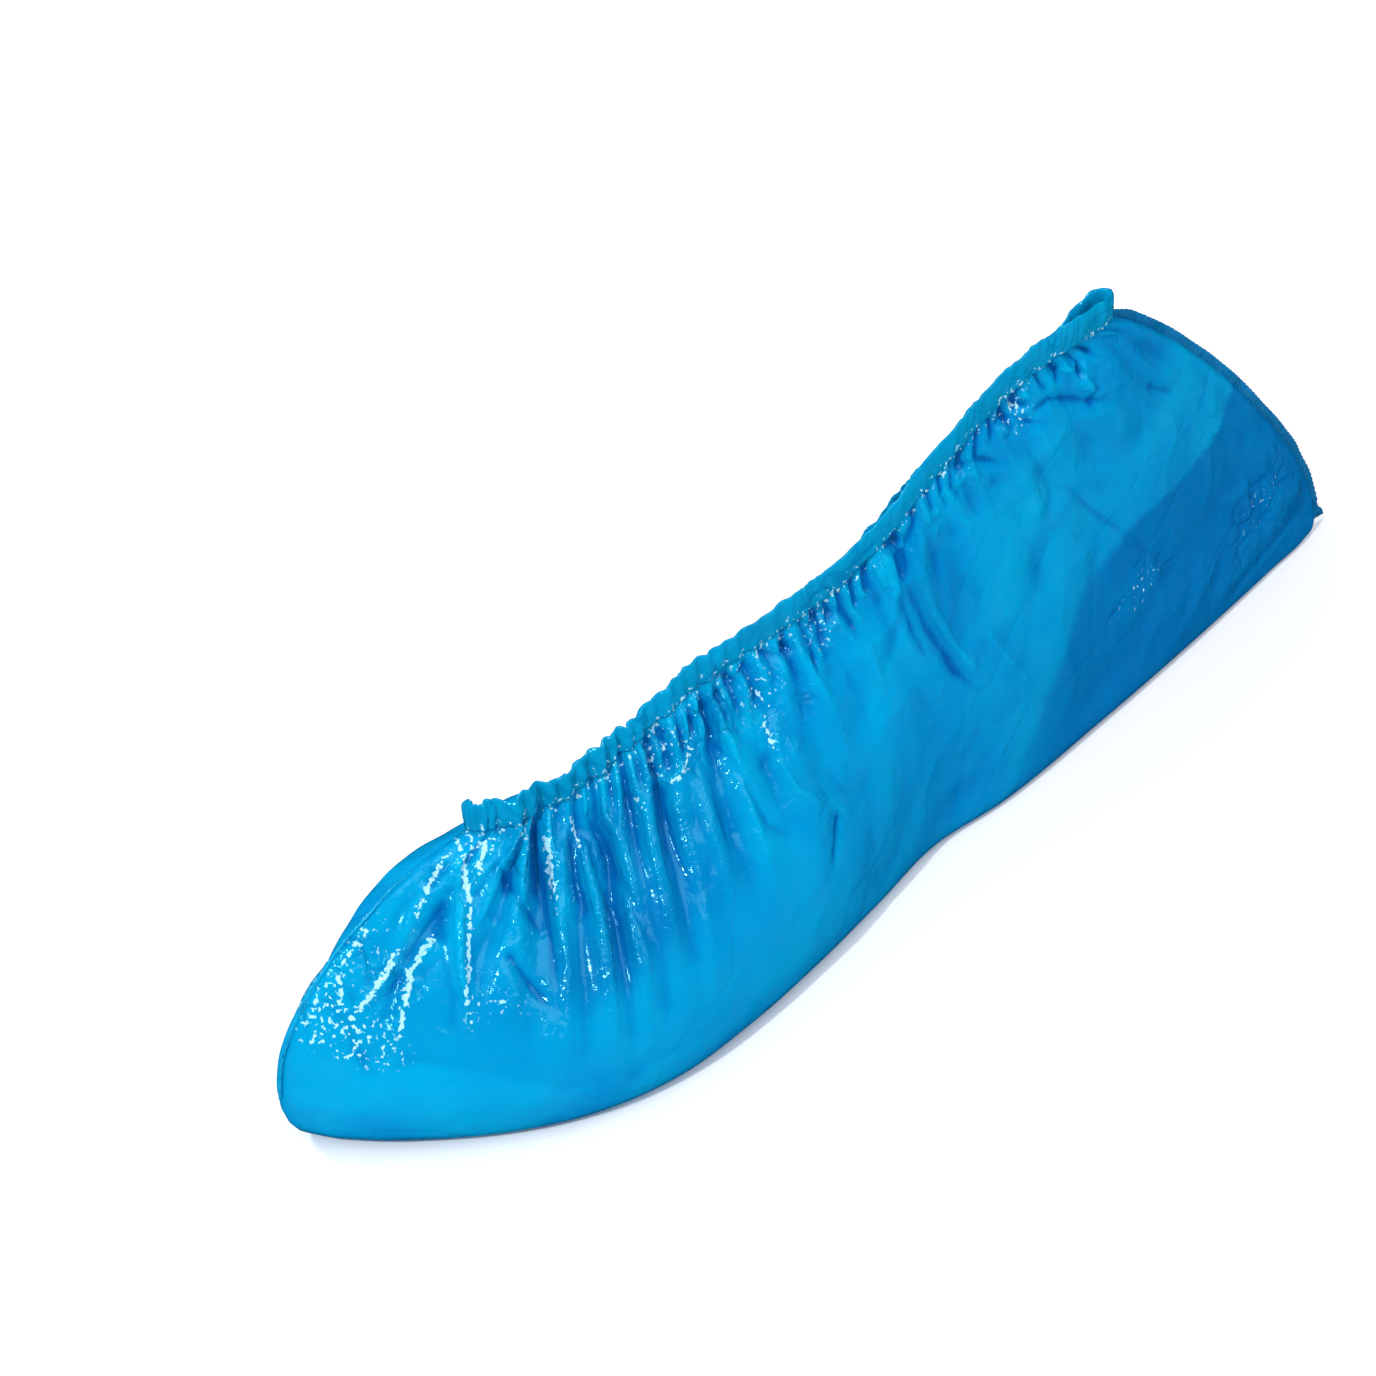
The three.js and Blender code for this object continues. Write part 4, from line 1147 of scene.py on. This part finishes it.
class SHOECOVER_OT_heel_weld(bpy.types.Operator):
    """Makes the weld down the back of the heel, with its corner on the ground"""

    bl_idname = "shoecover.heel_weld"
    bl_label = "Heel weld"

    def execute(self, context):
        settings = context.scene.shoe_cover
        line, outward = middle_line(settings.film, True)
        line = np.concatenate([[HEEL_FOOT], line, line[-1] + np.array(HEEL_TOP)])
        outward = np.concatenate([[[0, 1.0, 0.0]], outward, [[0, 1.0, 0.3]] * len(HEEL_TOP)])
        outward /= np.linalg.norm(outward, axis=1)[:, None]
        widths = np.full(len(line), settings.weld.heel_width)
        widths[:len(HEEL_FOOT_WIDTHS)] = HEEL_FOOT_WIDTHS
        widths[-24:] *= np.linspace(1, 0.6, 24)
        weld_fin("heel_weld", "heel_seam", line, outward, widths, settings,
                 tuple(settings.weld.colour), 1.0)
        return {"FINISHED"}


class SHOECOVER_OT_toe_weld(bpy.types.Operator):
    """Makes the weld that runs over the toe up to the hem"""

    bl_idname = "shoecover.toe_weld"
    bl_label = "Toe weld"

    def execute(self, context):
        settings = context.scene.shoe_cover
        line, outward = middle_line(settings.film, False)
        kept = int(len(line) * TOE_WELD_SHARE)
        line, outward = line[:kept], outward[:kept]
        widths = np.full(len(line), settings.weld.toe_width)
        widths[-12:] *= np.linspace(1, 0.3, 12)
        weld_fin("toe_weld", "toe_seam", line, outward, widths, settings,
                 tuple(settings.film.light), 0.0)
        return {"FINISHED"}


# Lights, in metres: name, place, what they point at, size, power in watts
LIGHTS = (
    ("key_light", (0.42, -1.28, 1.34), (0, -0.03, 0.03), (0.07, 0.07), 17),
    ("side_light", (-1.25, -0.55, 1.0), (0, -0.08, 0.03), (0.12, 0.6), 14),
    ("top_light", (0.9, 0.3, 1.7), (0, 0, 0.03), (1.6, 1.6), 17.5),
)
SKY_COLOUR = (0.94, 0.97, 1.0, 1)
SKY_STRENGTH = 0.6
# Side of the floor, in metres
FLOOR_SIZE = 14


def area_light(name, place, aim, size, power):
    lamp = bpy.data.lights.new(name, "AREA")
    lamp.shape = "RECTANGLE"
    lamp.size, lamp.size_y = size
    lamp.energy = power
    obj = bpy.data.objects.new(name, lamp)
    bpy.context.scene.collection.objects.link(obj)
    obj.location = place
    obj.rotation_euler = (Vector(aim) - Vector(place)).to_track_quat("-Z", "Y").to_euler()


class SHOECOVER_OT_stage(bpy.types.Operator):
    """Makes the pale floor, the soft studio lights and the camera"""

    bl_idname = "shoecover.stage"
    bl_label = "Stage"

    def execute(self, context):
        settings = context.scene.shoe_cover.stage
        bpy.ops.object.select_all(action="DESELECT")
        bpy.ops.mesh.primitive_plane_add(size=FLOOR_SIZE, location=(0, 0, 0))
        floor = context.object
        floor.name = "floor"
        nodes = FilmNodes("floor_paper")
        tone = nodes.scaled(nodes.noise(3), 0.3, 0.7, 0.97, 1.0)
        colour = nodes.mix(tone, darker(settings.floor, 0.94), tuple(settings.floor))
        nodes.feed(nodes.shader, {"Base Color": colour, "Roughness": 0.9,
                                  "Specular IOR Level": 0.1})
        floor.data.materials.append(nodes.material)
        floor.visible_glossy = False

        world = bpy.data.worlds.new("studio")
        world.use_nodes = True
        sky = world.node_tree.nodes["Background"]
        sky.inputs["Color"].default_value = SKY_COLOUR
        sky.inputs["Strength"].default_value = SKY_STRENGTH
        context.scene.world = world
        world.cycles_visibility.glossy = False
        for light in LIGHTS:
            area_light(*light)

        azimuth, elevation = settings.azimuth, settings.elevation
        back = Vector((math.sin(azimuth) * math.cos(elevation),
                       -math.cos(azimuth) * math.cos(elevation), math.sin(elevation)))
        lens = bpy.data.cameras.new("camera")
        lens.lens = settings.lens
        lens.sensor_width = 36
        lens.clip_start, lens.clip_end = 0.02, 40
        camera = bpy.data.objects.new("camera", lens)
        context.scene.collection.objects.link(camera)
        camera.location = Vector(settings.target) + back * settings.distance
        camera.rotation_euler = (-back).to_track_quat("-Z", "Y").to_euler()
        context.scene.camera = camera
        context.scene.view_settings.view_transform = "Standard"
        return {"FINISHED"}


class SHOECOVER_PT_panel(bpy.types.Panel):
    """Lists the pieces of the shoe cover"""

    bl_idname = "SHOECOVER_PT_panel"
    bl_label = "Shoe cover"
    bl_space_type = "VIEW_3D"
    bl_region_type = "UI"
    bl_category = "Shoe cover"

    def draw(self, context):
        for operator in OPERATORS:
            self.layout.operator(operator.bl_idname)
        settings = context.scene.shoe_cover
        for group in (settings.film, settings.hem, settings.weld, settings.stage):
            box = self.layout.box()
            for name in group.__annotations__:
                box.prop(group, name)


OPERATORS = (
    SHOECOVER_OT_film,
    SHOECOVER_OT_hem,
    SHOECOVER_OT_elastic,
    SHOECOVER_OT_heel_weld,
    SHOECOVER_OT_toe_weld,
    SHOECOVER_OT_stage,
)
CLASSES = (FilmSettings, HemSettings, WeldSettings, StageSettings, ShoeCoverSettings,
           *OPERATORS, SHOECOVER_PT_panel)


def register():
    for cls in CLASSES:
        bpy.utils.register_class(cls)
    bpy.types.Scene.shoe_cover = PointerProperty(type=ShoeCoverSettings)


def unregister():
    del bpy.types.Scene.shoe_cover
    for cls in reversed(CLASSES):
        bpy.utils.unregister_class(cls)


def main():
    register()
    bpy.ops.shoecover.film()
    bpy.ops.shoecover.hem()
    bpy.ops.shoecover.elastic()
    bpy.ops.shoecover.heel_weld()
    bpy.ops.shoecover.toe_weld()
    bpy.ops.shoecover.stage()


if __name__ == "__main__":
    main()
